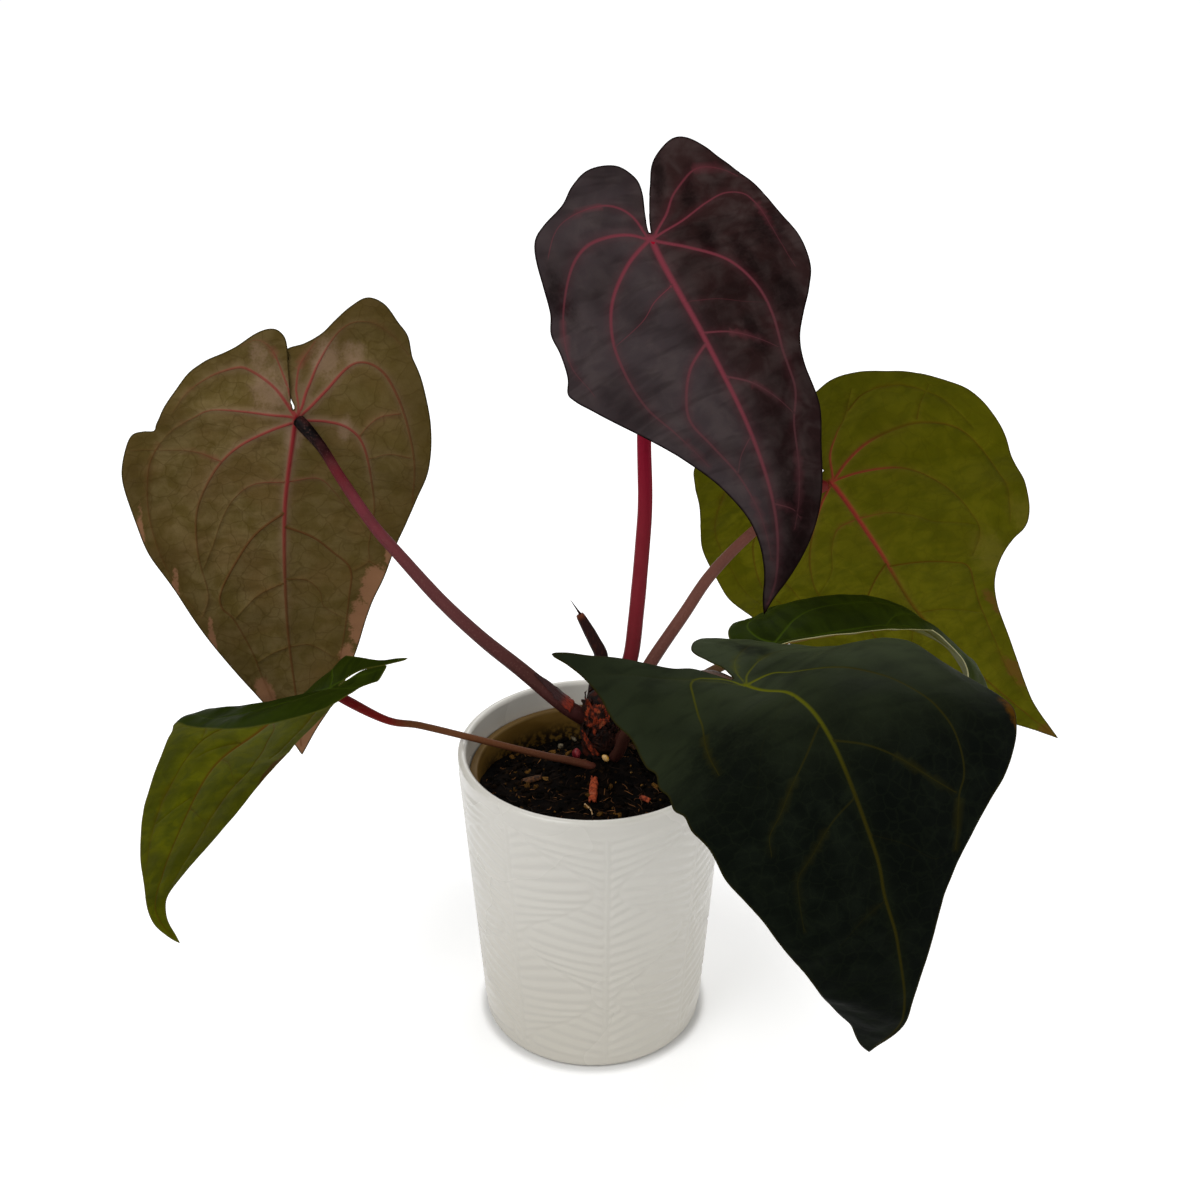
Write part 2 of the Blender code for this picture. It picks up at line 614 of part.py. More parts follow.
def petiole_sheath():
    """The papery sheath along the upper side of the left back petiole's foot."""
    centres, radii = rings_along(*PETIOLES["left_back"], PETIOLE_STEP)
    headings = unit(np.gradient(centres, axis=0))
    wanted = np.linspace(1.0, 3.0, 7)
    marks = np.arange(len(centres))
    places = np.stack([np.interp(wanted, marks, centres[:, i]) for i in range(3)], -1)
    ways = np.stack([np.interp(wanted, marks, headings[:, i]) for i in range(3)], -1)
    inner = np.interp(wanted, marks, radii) + SCALE_GAP / MM
    halves = np.linspace(65, 9, len(wanted))
    shell("cataphyll_sheath", places, ways, inner, [(0.35, -0.35, 0.9)] * len(wanted), halves,
          "sheath")


def flake(name, centre, length, width, thick, turn, finish):
    """A chip that lies on the potting mix: its underside follows the surface below it."""
    verts = []
    for level in (0, 1):
        for u in (-0.5, -0.18, 0.2, 0.5):
            for v in (-0.5, 0.5):
                taper = 1 - 0.45 * abs(u) ** 1.5
                along = u * length
                across = v * width * taper
                x = centre[0] + along * math.cos(turn) - across * math.sin(turn)
                y = centre[1] + along * math.sin(turn) + across * math.cos(turn)
                ground = float(soil_height(x, y)) + CHIP_GAP
                verts.append((x, y, ground + level * thick * (1 - 0.25 * abs(u))))
    faces = []
    for i in range(3):
        a = 2 * i
        faces += [(a, a + 1, a + 3, a + 2), (a + 8, a + 10, a + 11, a + 9)]
        faces += [(a, a + 2, a + 10, a + 8), (a + 1, a + 9, a + 11, a + 3)]
    faces += [(0, 8, 9, 1), (6, 7, 15, 14)]
    return add_object(name, mesh_from(name, verts, faces), finish)


def grain(name, place, radii, finish):
    """A rounded grain with its centre at place (metres)."""
    bm = bmesh.new()
    bmesh.ops.create_icosphere(bm, subdivisions=1, radius=1)
    bmesh.ops.scale(bm, verts=bm.verts, vec=radii)
    bmesh.ops.translate(bm, verts=bm.verts, vec=place)
    mesh = bpy.data.meshes.new(name)
    bm.to_mesh(mesh)
    bm.free()
    mesh.shade_smooth()
    return add_object(name, mesh, finish)


def perlite(name, x, y, size):
    place = (x, y, float(soil_height(x, y)) + 0.8 * size + CHIP_GAP)
    return grain(name, place, (size, 0.9 * size, 0.75 * size), "perlite")


def straw():
    points = []
    for x, y in STRAW:
        height = float(soil_height(x * MM, y * MM)) / MM
        points.append((x, y, height + STRAW_RADIUS + 0.5))
    tube("straw_fibre", *rings_along(points, (STRAW_RADIUS, STRAW_RADIUS * 0.7), 3), "straw")


def plant(soil):
    stem = stem_solid("stem_and_roots", 0.0)
    for name, (route, radii) in PETIOLES.items():
        rings = rings_along(route, radii, PETIOLE_STEP)
        tube(f"petiole_{name}", *rings, "petiole")
        socket = meshed(tube(f"socket_{name}", *rings, "petiole", SOCKET_GAP))
        combine(stem, socket, "DIFFERENCE")
        if name in IN_THE_SOIL:
            combine(soil, socket, "DIFFERENCE")
    rings = rings_along(NEW_LEAF, NEW_LEAF_RADII, 6)
    tube("new_leaf_spike", *rings, "petiole")
    combine(stem, meshed(tube("socket_new_leaf", *rings, "petiole", SOCKET_GAP)), "DIFFERENCE")
    for name, shape in LEAVES.items():
        leaf_blade(f"leaf_{name}", shape, "young_leaf" if name in YOUNG_LEAVES else "old_leaf")


def scales_and_bud():
    petiole_sheath()
    stem_scale("cataphyll_band", 0.1670, 0.1800, (-100, -86), (26, 36, 34, 20))
    stem_scale("cataphyll_scrap", 0.1560, 0.1650, (-80, -86), (14, 27, 26, 10))
    stem_scale("cataphyll_strip", 0.1515, 0.1640, (-104, -150), (8, 11, 11, 6))
    grain("side_bud", (-0.0084, 0.0155, 0.1516), (0.0024, 0.0024, 0.0032), "petiole")


def litter():
    """What lies on the potting mix: bark, perlite, a fibre and a grain of fertiliser."""
    flake("bark_chip_upright", (0.0005, -0.0085), 0.0165, 0.0046, 0.0020, 1.52, "bark")
    flake("bark_chip_small", (0.0275, -0.0105), 0.0055, 0.0035, 0.0016, -0.5, "bark")
    flake("bark_chip_left", (-0.0320, 0.0030), 0.0100, 0.0050, 0.0020, 0.4, "bark")
    flake("bark_chip_back", (0.0220, 0.0440), 0.0110, 0.0050, 0.0020, 2.2, "bark")
    flake("bark_chip_right", (0.0400, 0.0040), 0.0100, 0.0045, 0.0020, 1.0, "bark")
    grain("fertiliser_bead", (0.0070, 0.0115, 0.1512), (0.0022, 0.0020, 0.0022), "bead")
    perlite("perlite_left", -0.017, 0.036, 0.0020)
    perlite("perlite_back", -0.010, 0.046, 0.0018)
    perlite("perlite_right", 0.034, 0.026, 0.0020)
    straw()


def main():
    clear_scene()
    cachepot()
    nursery_pot()
    soil = potting_mix()
    combine(soil, stem_solid("stem_pocket", POCKET_GAP), "DIFFERENCE")
    plant(soil)
    scales_and_bud()
    litter()


main()
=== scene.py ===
"""Potted velvet-leaved anthurium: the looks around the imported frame.

Metres, +Z up. The origin is the centre of the cachepot's base, and -Y is the front. Pieces are
drawn in millimetres, in which leaves and pots are measured, and add_piece turns them into metres.
"""

import math
import random

import bmesh
import bpy
import numpy as np
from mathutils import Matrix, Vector, geometry, kdtree, noise


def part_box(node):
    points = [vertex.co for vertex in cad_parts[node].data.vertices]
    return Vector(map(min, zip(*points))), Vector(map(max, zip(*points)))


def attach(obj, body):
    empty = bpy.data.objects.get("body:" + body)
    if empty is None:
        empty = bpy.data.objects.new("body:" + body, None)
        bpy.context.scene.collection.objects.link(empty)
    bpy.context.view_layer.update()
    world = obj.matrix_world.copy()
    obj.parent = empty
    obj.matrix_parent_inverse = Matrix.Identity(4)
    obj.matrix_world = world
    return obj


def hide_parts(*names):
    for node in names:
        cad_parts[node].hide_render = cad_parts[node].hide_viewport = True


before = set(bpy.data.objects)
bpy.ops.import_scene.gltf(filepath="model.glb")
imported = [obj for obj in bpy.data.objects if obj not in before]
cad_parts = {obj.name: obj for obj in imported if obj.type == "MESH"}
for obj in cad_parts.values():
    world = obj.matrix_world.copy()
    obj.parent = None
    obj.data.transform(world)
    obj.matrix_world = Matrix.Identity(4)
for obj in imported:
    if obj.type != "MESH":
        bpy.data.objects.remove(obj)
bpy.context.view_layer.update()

MM = 0.001

# Driving dimensions in millimetres, as in the frame.
POT_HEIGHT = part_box("cachepot")[1][2] / MM
POT_RIM_RADIUS = 70.0
POT_BASE_RADIUS = 59.0
POT_WALL = 4.6
POT_FLOOR = 7.0
POT_EDGE = 4.0
NURSERY_FOOT, NURSERY_TOP = (corner[2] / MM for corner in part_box("nursery_pot"))
NURSERY_RIM_RADIUS = 63.0
NURSERY_TOP_RADIUS = 61.2
NURSERY_BASE_RADIUS = 47.0
NURSERY_WALL = 1.2
NURSERY_COLLAR = 10.0
DRAIN_HOLES = 8
DRAIN_RADIUS = 3.5
DRAIN_CIRCLE = 30.0
SOIL_LEVEL = 139.0
SOIL_FALL_BACK = 0.13
SOIL_FALL_RIGHT = 0.08
MOUND_HEIGHT = 14.0
MOUND_SPREAD = 18.0
STEM = (4.0, 24.0)
STEM_RADIUS = 10.0
STEM_TOP = 186.0
STEM_FOOT = 112.0
# (share of the stem's height, share of its radius)
STEM_SHAPE = ((0.0, 0.3), (0.02, 0.55), (0.16, 0.95), (0.45, 1.0), (0.7, 0.98), (0.86, 0.86),
              (0.96, 0.60), (1.0, 0.2))
ROOTS = 5
# (reach from the stem, share of the way to the pot's middle, rise above the stem's foot)
ROOT_SHAPE = ((4, 0.0, 10), (14, 0.1, 6), (22, 0.5, -12), (28, 0.9, -42))

# How blades are built, in millimetres.
LEAF_SHEET = 0.5  # a blade's thickness between its veins
MARGIN_STEP = 1.5  # between points along a blade's margin
MARGIN_INSETS = (0.7, 1.8)  # rows of points that follow the margin inside it
MARGIN_CLEAR = 0.4  # no point inside the margin stands closer to it
CELL = 2.3  # between the points that fill a blade
CELL_ROW = 0.866  # share of a cell from one row of those points to the next
BUCKET = 2.5  # squares in which points are looked for that stand too close
BORDER_POINTS = 1200  # points of the margin from which distances to it are read
LINE_STEP = 0.5  # between the points at which a vein is read
VEIN_STEP = 1.5  # between mesh points along a vein
VEIN_ROWS = (0.0, 0.5, 1.0, 1.7)  # rows of mesh points beside a vein, in half widths
VEIN_LEAST = 0.32  # half width that these rows keep where a vein is finer
VEIN_DRAWS = 0.35  # half width from which a vein draws the blade down beside it
MARGIN_GAP, VEIN_GAP, CELL_GAP = 0.45, 0.24, 1.25  # least gaps between the three kinds of points
VEIN_SHOWS = (0.85, 0.35)  # how strongly a side vein shows at its start and end
MIDRIB_SHOWS = (1.0, 0.6)  # the same for a midrib
MIDRIB_FADE = 0.5  # a midrib changes colour with this share of its distance from the joint

# Every blade is a flat heart, bent over its midrib. All lengths are mm.
#   spine: points of the midrib, from behind the petiole joint to the tip; joint is its index
#   looks: (along, direction) that the upper face looks in
#   folds: (along, low rise, low bend, high rise, high bend) of the two halves, low being the
#          half with across < 0; rise in degrees, bend in degrees per cm
#   ripple: height and length of the waves in a margin
#   low, high: (along, across) of the two margins, from the sinus to the tip
# A blade may also set these:
#   overlap: how far the high half laps over the low one at the sinus, and the sinus's across
#   quilt: swell between the veins; wrinkles: the small folds that run in from a margin
#   side_turn: width over which one half's colour turns into the other's
USUAL_SHAPE = {"overlap": (0.0, 0.0), "quilt": 1.15, "wrinkles": 0.7, "side_turn": 14}
LEAVES = {
    "left_back": {
        "spine": [(-150, 76, 380), (-152, 80, 350), (-154, 80, 318), (-166, 91, 258),
                  (-171, 96, 190), (-170, 97, 136), (-169, 94, 100)],
        "joint": 2,
        "looks": [(-60, (-0.15, 0.95, 0.1)), (0, (-0.2, 0.95, 0.15)), (220, (-0.2, 0.95, 0))],
        "folds": [(-60, 0, 0, 0, 0), (0, 0, -1, 0, -1), (220, 0, -1, 0, -1)],
        "ripple": (1.0, 46),
        "overlap": (2.2, -2.4),
        "low": [(-4, -1.6), (-12, -2.7), (-26, -3.0), (-38, -3.4), (-45, -5), (-49, -10), (-47, -18),
                (-38, -31), (-31, -46), (-24, -56), (-8, -66), (6, -70), (12, -71), (12.5, -76),
                (15, -82), (24, -85), (36, -86), (50, -83.5), (66, -78), (85, -71), (110, -58),
                (140, -43), (190, -15)],
        "high": [(-4, -0.4), (-12, -1.7), (-26, -2.0), (-36, -2.0), (-40, 6), (-46, 14.5), (-53, 21),
                 (-61, 29), (-66, 37.5), (-62, 46), (-51, 53), (-43, 58), (-31, 60.5), (-15, 66),
                 (1, 71), (16, 73), (37, 72.5), (64, 66.5), (100, 56.5), (122, 48), (151, 39),
                 (170, 31), (186, 23), (204, 10)],
        "tip": (220, 0),
    },
    "top": {
        "spine": [(22, 52, 480), (25, 38, 455), (28, 20, 430), (51, -10, 394), (71, -38, 360),
                  (82, -58, 330), (84, -64, 300), (79, -66, 279)],
        "joint": 2,
        "looks": [(-60, (0.1, -0.75, 0.65)), (0, (0.1, -0.8, 0.6)), (200, (0.1, -0.95, 0.1))],
        "folds": [(-60, 0, -2, 0, -2), (0, 0, -2, 0, -2), (200, 0, -2, 0, -2)],
        "ripple": (1.0, 50),
        "quilt": 1.5,
        "low": [(-3, -0.7), (-12, -1.5), (-24, -2.0), (-35, -3.6), (-42, -8), (-47.5, -15), (-47.5, -22),
                (-43, -30), (-38, -36), (-31, -45), (-22, -53), (-6, -60), (16, -65.5), (31, -66.5),
                (43, -63), (52, -55.5), (62, -47), (72, -40), (84, -36.3), (102, -34.5), (118, -28.5),
                (136, -23), (150, -17.5), (163, -11), (178, -3)],
        "high": [(-3, 0.4), (-12, 0.5), (-22, 1.4), (-30, 4.6), (-36, 11.5), (-37, 19.5), (-34.5, 27.5),
                 (-28, 34), (-20, 39), (-13, 48), (-7, 53.5), (3, 55), (12, 57), (19, 61), (28, 61.5),
                 (40, 64), (48, 67.5), (54, 66), (63, 59.5), (82, 46.5), (105, 32), (118, 24),
                 (130, 17.8), (142, 12.3), (155, 8.3), (167, 6.0), (181, 3.8)],
        "tip": (191, 0),
    },
    "right_back": {
        "spine": [(95, 104, 300), (112, 110, 285), (132, 115, 265), (161, 122, 222),
                  (192, 130, 172), (240, 135, 122), (284, 135, 84)],
        "joint": 2,
        "looks": [(-60, (0.2, 0.95, 0.1)), (0, (0.2, 0.95, 0.05)), (230, (0.25, 0.95, 0))],
        "folds": [(-60, 0, -1, 0, -1), (0, 0, -1, 0, -1), (230, 0, -1, 0, -1)],
        "ripple": (1.0, 52),
        "wrinkles": 1.1,
        "low": [(-8, -1), (-38, -4), (-55, -14), (-65, -30), (-64, -44), (-55, -53), (-43, -62),
                (-28, -73), (-11, -82), (13, -88), (30, -89.5), (48, -89.5), (72, -86), (92, -75),
                (120, -60), (150, -42), (180, -26), (215, -9)],
        "high": [(-8, 1), (-30, 4), (-45, 14), (-52, 26), (-54, 38), (-54, 48), (-49, 58), (-40, 69),
                 (-30, 80), (-17, 89), (-5, 95), (4, 97), (14, 97), (27, 94), (45, 92.5), (56, 89.5),
                 (64, 85), (69, 80), (74, 72), (83, 63.5), (97, 55), (112, 48), (131, 40), (154, 31.5),
                 (172, 24), (190, 16), (210, 7.5)],
        "tip": (238, 0),
    },
    "front": {
        "spine": [(-8, -56, 280), (26, -90, 281), (66, -130, 279), (84, -152, 287),
                  (97, -178, 281), (113, -202.4, 246), (118, -207.7, 226), (125, -208.6, 202),
                  (131, -204, 160), (121, -189.6, 128)],
        "joint": 2,
        "looks": [(-60, (0.25, 0.3, 0.92)), (-20, (0.1, 0.1, 1)), (0, (0, 0, 1)),
                  (60, (0, -0.5, 0.85)), (120, (0.1, -0.9, 0.4)), (230, (0, -1, 0.05))],
        "folds": [(-60, 6, -3, 5, 0), (0, 8, -4, 0, -3), (60, 4, -4, 0, -3),
                  (120, 0, -3, 0, -3), (230, 0, -1, 0, -1)],
        "ripple": (1.0, 54),
        "side_turn": 60,
        "low": [(-8, -1), (-17, -4), (-26, -4), (-37, -6), (-46, -22), (-45, -40), (-36, -57),
                (-18, -70), (4, -77), (20, -76), (32, -74), (43, -79), (56, -85.5), (69, -88),
                (79, -84.5), (88, -78), (98, -66), (105, -54), (115, -42), (124, -33), (136, -25),
                (148, -17.5), (160, -12.5), (175, -6.5), (188, -3), (206, -1.5)],
        "high": [(-8, 1), (-16, 3.5), (-24, 8), (-28, 17), (-35, 27), (-41, 40), (-44, 56), (-46, 68),
                 (-46, 77), (-42, 70), (-37, 65), (-29, 62), (-18, 63.5), (-8, 62), (4, 65.5),
                 (13, 65), (24, 68.5), (36, 68), (50, 69.5), (60, 67), (72, 66.5), (84, 62.5),
                 (100, 60.5), (114, 55), (128, 49), (147, 43), (166, 36.5), (186, 31), (204, 24),
                 (219, 14), (228, 6)],
        "tip": (232, 0),
    },
    "low_left": {
        "spine": [(-90, -22, 222), (-112, -16, 214), (-134, 0, 201), (-159, 25, 176),
                  (-181, 38, 152), (-210, 45, 124), (-232, 44, 84), (-247, 40, 48),
                  (-250, 37, 28), (-236, 30, 13)],
        "joint": 2,
        "looks": [(-60, (-0.3, 0.1, 0.95)), (0, (-0.35, 0.35, 0.87)), (60, (-0.38, 0.7, 0.6)),
                  (120, (-0.6, 0.7, 0.35)), (240, (-0.8, 0.6, 0))],
        "folds": [(-60, 26, -3, 26, -14), (-28, 9, -5, 38, -14), (0, 12, -5, 50, -14),
                  (60, 22, -6, 20, -5), (100, 20, -5, 0, -1), (150, 5, -2, 0, -1), (240, 0, 0, 0, 0)],
        "ripple": (0.5, 48),
        "low": [(-8, 0.3), (-15, 4), (-23, 8.2), (-31, 10), (-39, 9.5), (-38, 3), (-35, -3), (-33, -10),
                (-33, -20), (-30, -30), (-16, -43), (8, -55), (28, -58), (50, -62), (66, -61),
                (80, -55), (96, -47), (114, -38), (132, -34), (152, -31), (181, -21), (200, -12),
                (219, -5), (232, -3), (241, -1.6)],
        "high": [(-8, 1.2), (-14, 5.2), (-22, 8.6), (-32, 10.2), (-42, 10.6), (-49, 11.4), (-50, 12.8),
                 (-44, 14.3), (-37, 15.8), (-20, 17), (0, 21), (18, 28),
                 (38, 38), (60, 44), (92, 43), (112, 46), (130, 46), (152, 41), (180, 30),
                 (196, 20.5), (206, 14), (216, 8), (227, 4.6), (238, 2.4)],
        "tip": (246, 0),
    },
    "right": {
        "spine": [(60, -36, 236), (89, -30, 243), (109, -22, 243), (127, -14, 242),
                  (148, -6, 240), (168, 2, 233), (186, 10, 218), (205, 18, 195), (213, 24, 165)],
        "joint": 1,
        "looks": [(-60, (0, 0, 1)), (0, (0, 0, 1)), (100, (0.4, 0, 0.9)), (170, (0.9, 0.1, 0.3))],
        "folds": [(-60, 15, -10, 26, 0), (0, 15, -10, 31, 1), (60, 10, -9, 30, 0), (80, 6, -8, 18, -3),
                  (105, 2, -8, -2, -5), (130, -2, -7, -25, -4), (170, -10, -5, -40, -2)],
        "ripple": (0.5, 40),
        "low": [(-8, -1), (-16, -4), (-19, -12), (-18, -22), (-13, -32), (-4, -42), (9, -51),
                (28, -58), (50, -59), (76, -53), (100, -42), (125, -28), (150, -13)],
        "high": [(-8, 1), (-19, 3), (-24, 9), (-20, 17), (-9, 24), (8, 32), (30, 42),
                 (54, 46), (70, 44), (82, 42), (93, 37), (105, 30), (118, 21), (130, 14), (150, 6)],
        "tip": (174, 0),
    },
}

# Veins of every blade: (half width at the joint, half width at the end, points) in flat mm,
# (along, across) from the petiole joint. The midrib, which follows the spine, comes first.
# A fourth item says how strongly a vein shows at its start and its end, 0 to 1.
VEINS = {
    "left_back": [
        (1.25, 0.40, [(-1, 0), (60, 0), (140, 0), (214, 0)]),
        (0.55, 0.20, [(0, 0), (-20, -5), (-37, -11), (-43, -18), (-40, -26)]),
        (0.85, 0.20, [(0, 0), (-17, -11), (-27, -23), (-28, -31), (-24, -44), (-16, -55), (-4, -62)]),
        (0.75, 0.20, [(0, -1), (-1, -14), (-3, -28), (-4, -43), (1, -52), (10, -61), (20, -68)]),
        (0.85, 0.28, [(3, 0), (9, -12), (20, -27), (33, -37), (51, -44), (66, -47), (88, -46),
                      (111, -42), (125, -46)]),
        (0.70, 0.25, [(62, 0), (75, -15), (90, -25), (110, -35), (120, -35), (128, -29), (149, -21),
                      (168, -17), (196, -10)]),
        (0.50, 0.20, [(0, 1), (-16, 2), (-28, 4), (-38, 9), (-46, 14)]),
        (0.65, 0.22, [(0, 1), (-16, 7), (-33, 14), (-46, 22), (-52, 31), (-51, 41), (-44, 50), (-34, 58)]),
        (0.75, 0.30, [(0, 2), (-14, 15), (-27, 28), (-29, 36), (-24, 44), (-14, 51), (0, 58), (20, 65),
                      (45, 68), (70, 67), (97, 57)]),
        (0.70, 0.30, [(2, 3), (2, 16), (5, 28), (14, 37), (35, 44), (58, 48), (84, 46), (95, 46), (101, 38)]),
        (0.65, 0.25, [(71, 0), (78, 15), (88, 26), (100, 36), (118, 35), (140, 32), (161, 27), (188, 17)]),
        (0.30, 0.22, [(30, -36), (25, -50), (24, -66), (24, -82)]),
        (0.30, 0.22, [(20, -68), (33, -72), (57, -72), (77, -68), (101, -60), (124, -47)]),
        (0.30, 0.22, [(107, 0), (114, -14), (122, -23), (128, -29)]),
        (0.26, 0.20, [(149, 0), (152, -9), (156, -18)]),
        (0.26, 0.20, [(42, 0), (45, -17), (54, -27), (66, -33), (84, -39), (98, -45)]),
        (0.28, 0.22, [(-4, 56), (-1, 44), (5, 37), (10, 34)]),
        (0.26, 0.20, [(18, 64), (18, 52), (22, 41)]),
        (0.26, 0.20, [(95, 46), (99, 52), (104, 56)]),
        (0.26, 0.20, [(42, 0), (39, 16), (47, 25), (58, 33), (74, 46)]),
        (0.26, 0.20, [(105, 0), (107, 12), (115, 19), (125, 21), (134, 33)]),
        (0.26, 0.20, [(149, 0), (150, 12), (161, 26)]),
    ],
    "top": [
        (1.20, 0.35, [(-1, 0), (60, 0), (130, 0), (186, 0)]),
        (0.50, 0.15, [(0, 1), (-11, 6), (-16, 15), (-16, 28), (-12, 40), (-3, 49)]),
        (0.55, 0.20, [(0, 1), (-4, 9), (-5, 20), (-3, 32), (4, 43), (18, 54), (36, 60), (56, 57)]),
        (0.75, 0.28, [(0, 1), (8, 16), (20, 30), (36, 38), (54, 40), (72, 38), (88, 32), (112, 23)]),
        (0.60, 0.25, [(56, 0), (64, 12), (76, 20), (88, 23), (104, 18), (120, 12), (140, 7), (162, 3)]),
        (0.55, 0.20, [(0, -1), (-11, -9), (-24, -14), (-33, -25), (-32, -38), (-26, -48)]),
        (0.55, 0.18, [(0, -1), (-6, -15), (-15, -28), (-19, -38), (-15, -48), (0, -54), (20, -56),
                      (40, -56)]),
        (0.70, 0.25, [(1, -1), (10, -14), (24, -28), (40, -34), (56, -34), (74, -30), (92, -27),
                      (106, -20), (126, -15), (150, -8)]),
        (0.42, 0.20, [(51, 0), (56, -12), (64, -22), (73, -30)]),
        (0.42, 0.20, [(74, 0), (82, -10), (92, -17), (102, -22)]),
        (0.30, 0.20, [(137, 0), (141, -8), (145, -11)]),
        (0.25, 0.18, [(24, 0), (28, 12), (34, 22), (38, 38)]),
        (0.25, 0.18, [(34, 0), (40, -14), (46, -24), (50, -34)], (0.3, 0.1)),
        (0.25, 0.18, [(104, 0), (112, 8), (120, 12)]),
    ],
    "right_back": [
        (1.30, 0.40, [(-1, 0), (70, 0), (150, 0), (232, 0)]),
        (0.65, 0.20, [(0, 1), (-14, 10), (-22, 22), (-30, 34), (-42, 50)]),
        (0.40, 0.20, [(-32, 38), (-35, 52), (-29, 68), (-14, 78), (6, 84)]),
        (0.80, 0.25, [(0, 1), (-6, 14), (-9, 30), (-8, 48), (-5, 62), (3, 76), (16, 82), (32, 83),
                      (48, 82), (63, 75)]),
        (0.70, 0.28, [(0, 2), (3, 17), (10, 36), (20, 47), (34, 54), (52, 57), (64, 57), (78, 47)]),
        (0.60, 0.25, [(69, 0), (73, 18), (79, 33), (86, 41), (104, 38), (125, 32), (150, 24), (175, 15),
                      (204, 7)]),
        (0.70, 0.22, [(0, -1), (-12, -10), (-26, -22), (-37, -36), (-37, -50), (-26, -62)]),
        (0.75, 0.25, [(0, -2), (-4, -18), (-2, -38), (8, -54), (24, -64), (48, -70), (72, -66), (94, -56)]),
        (0.70, 0.28, [(2, -2), (12, -14), (28, -28), (48, -40), (70, -45), (92, -40), (106, -30)]),
        (0.55, 0.25, [(66, 0), (76, -12), (89, -23), (106, -30), (130, -30), (160, -22), (196, -11)]),
        (0.28, 0.20, [(-37, -48), (-26, -63), (-10, -72), (10, -77), (36, -80), (60, -78)]),
        (0.26, 0.20, [(30, 0), (35, 17), (44, 29), (52, 36), (60, 56)]),
        (0.26, 0.20, [(-7, 61), (-13, 70), (-19, 80)]),
        (0.26, 0.20, [(30, 0), (32, -14), (44, -24), (60, -32), (71, -44)]),
        (0.26, 0.20, [(51, -58), (72, -56), (90, -50)]),
        (0.26, 0.20, [(108, 0), (114, 12), (122, 22), (130, 30)]),
        (0.26, 0.20, [(110, 0), (118, -10), (130, -20), (136, -29)]),
    ],
    "front": [
        (0.85, 0.34, [(-1, 0), (70, 0), (150, 0), (226, 0)], (1.0, 0.85)),
        (0.50, 0.25, [(0, 1), (-8, 2), (-13, 6), (-17, 12), (-16, 18), (-10, 23), (-3, 28), (8, 35),
                      (20, 41), (34, 45), (50, 47)], (0.9, 0.7)),
        (0.36, 0.20, [(0, 1), (-12, 8), (-24, 26), (-33, 44), (-37, 62)], (0.25, 0.05)),
        (0.42, 0.24, [(50, 0), (60, 11), (71, 23), (80, 31), (87, 38), (95, 40)], (0.55, 0.45)),
        (0.38, 0.24, [(84, 0), (90, 12), (99, 23), (108, 32), (118, 34), (130, 35)], (0.40, 0.35)),
        (0.36, 0.20, [(129, 0), (135, 13), (143, 23)], (0.25, 0.10)),
        (0.60, 0.30, [(0, -1), (3, -14), (12, -17), (22, -21), (32, -32), (40, -40), (50, -45), (63, -49),
                      (73, -51), (84, -50), (92, -47), (98, -42), (108, -37), (118, -33)], (0.9, 0.55)),
        (0.42, 0.25, [(60, -1), (67, -13), (76, -23), (88, -33), (97, -41)], (0.6, 0.6)),
        (0.42, 0.20, [(-1, -1), (-6, -8), (-12, -26), (-13, -42), (-9, -58)], (0.7, 0.3)),
        (0.36, 0.20, [(-2, -1), (-10, -5), (-17, -12), (-23, -24), (-30, -44), (-31, -62)], (0.55, 0.20)),
        (0.26, 0.18, [(100, 0), (108, -12), (116, -22), (118, -31)], (0.15, 0.08)),
        (0.26, 0.18, [(30, 0), (38, 14), (52, 28), (66, 36)], (0.12, 0.06)),
    ],
    "low_left": [
        (1.10, 0.35, [(-1, 0), (80, 0), (160, 0), (240, 0)]),
        (0.45, 0.22, [(62, 0), (74, -12), (90, -21), (125, -20), (150, -21), (177, -17), (210, -8)]),
        (0.45, 0.22, [(66, 0), (80, 13), (92, 19), (107, 26), (125, 29), (142, 24), (160, 20), (180, 17),
                      (210, 9)]),
        (0.30, 0.18, [(92, 0), (98, -4), (105, -8), (114, -14)]),
        (0.28, 0.18, [(111, 0), (116, 9), (122, 15), (136, 26)]),
        (0.60, 0.20, [(0, -1), (-12, -6), (-28, -9), (-38, -12)]),
        (0.60, 0.22, [(0, -1), (-6, -14), (4, -28), (20, -42), (40, -51), (60, -50), (80, -43)]),
        (0.55, 0.25, [(2, -1), (14, -12), (32, -24), (56, -32), (80, -32), (100, -22)]),
        (0.50, 0.20, [(0, 1), (-14, 4), (-30, 6), (-42, 8)]),
        (0.60, 0.22, [(0, 1), (2, 8), (14, 17), (34, 27), (56, 34), (84, 36), (110, 36)]),
        (0.26, 0.18, [(140, 0), (150, -10), (160, -20)]),
        (0.26, 0.18, [(150, 0), (158, 10), (166, 19)]),
    ],
    "right": [
        (1.00, 0.35, [(-1, 0), (60, 0), (120, 0), (168, 0)]),
        (0.50, 0.20, [(0, -1), (10, -9), (24, -19), (40, -24), (60, -24), (80, -25), (104, -20)]),
        (0.50, 0.20, [(0, -1), (-6, -8), (-8, -20), (0, -32), (14, -42), (34, -48), (60, -47), (88, -38)]),
        (0.50, 0.20, [(0, 1), (-8, 8), (-10, 16), (0, 26), (20, 34), (45, 38), (78, 36)]),
        (0.45, 0.20, [(2, 1), (12, 8), (30, 17), (52, 22), (80, 22), (108, 15)]),
        (0.38, 0.18, [(62, 0), (74, -10), (92, -17), (104, -20), (128, -12)]),
        (0.38, 0.18, [(66, 0), (80, 9), (98, 14), (120, 10)]),
    ],
}

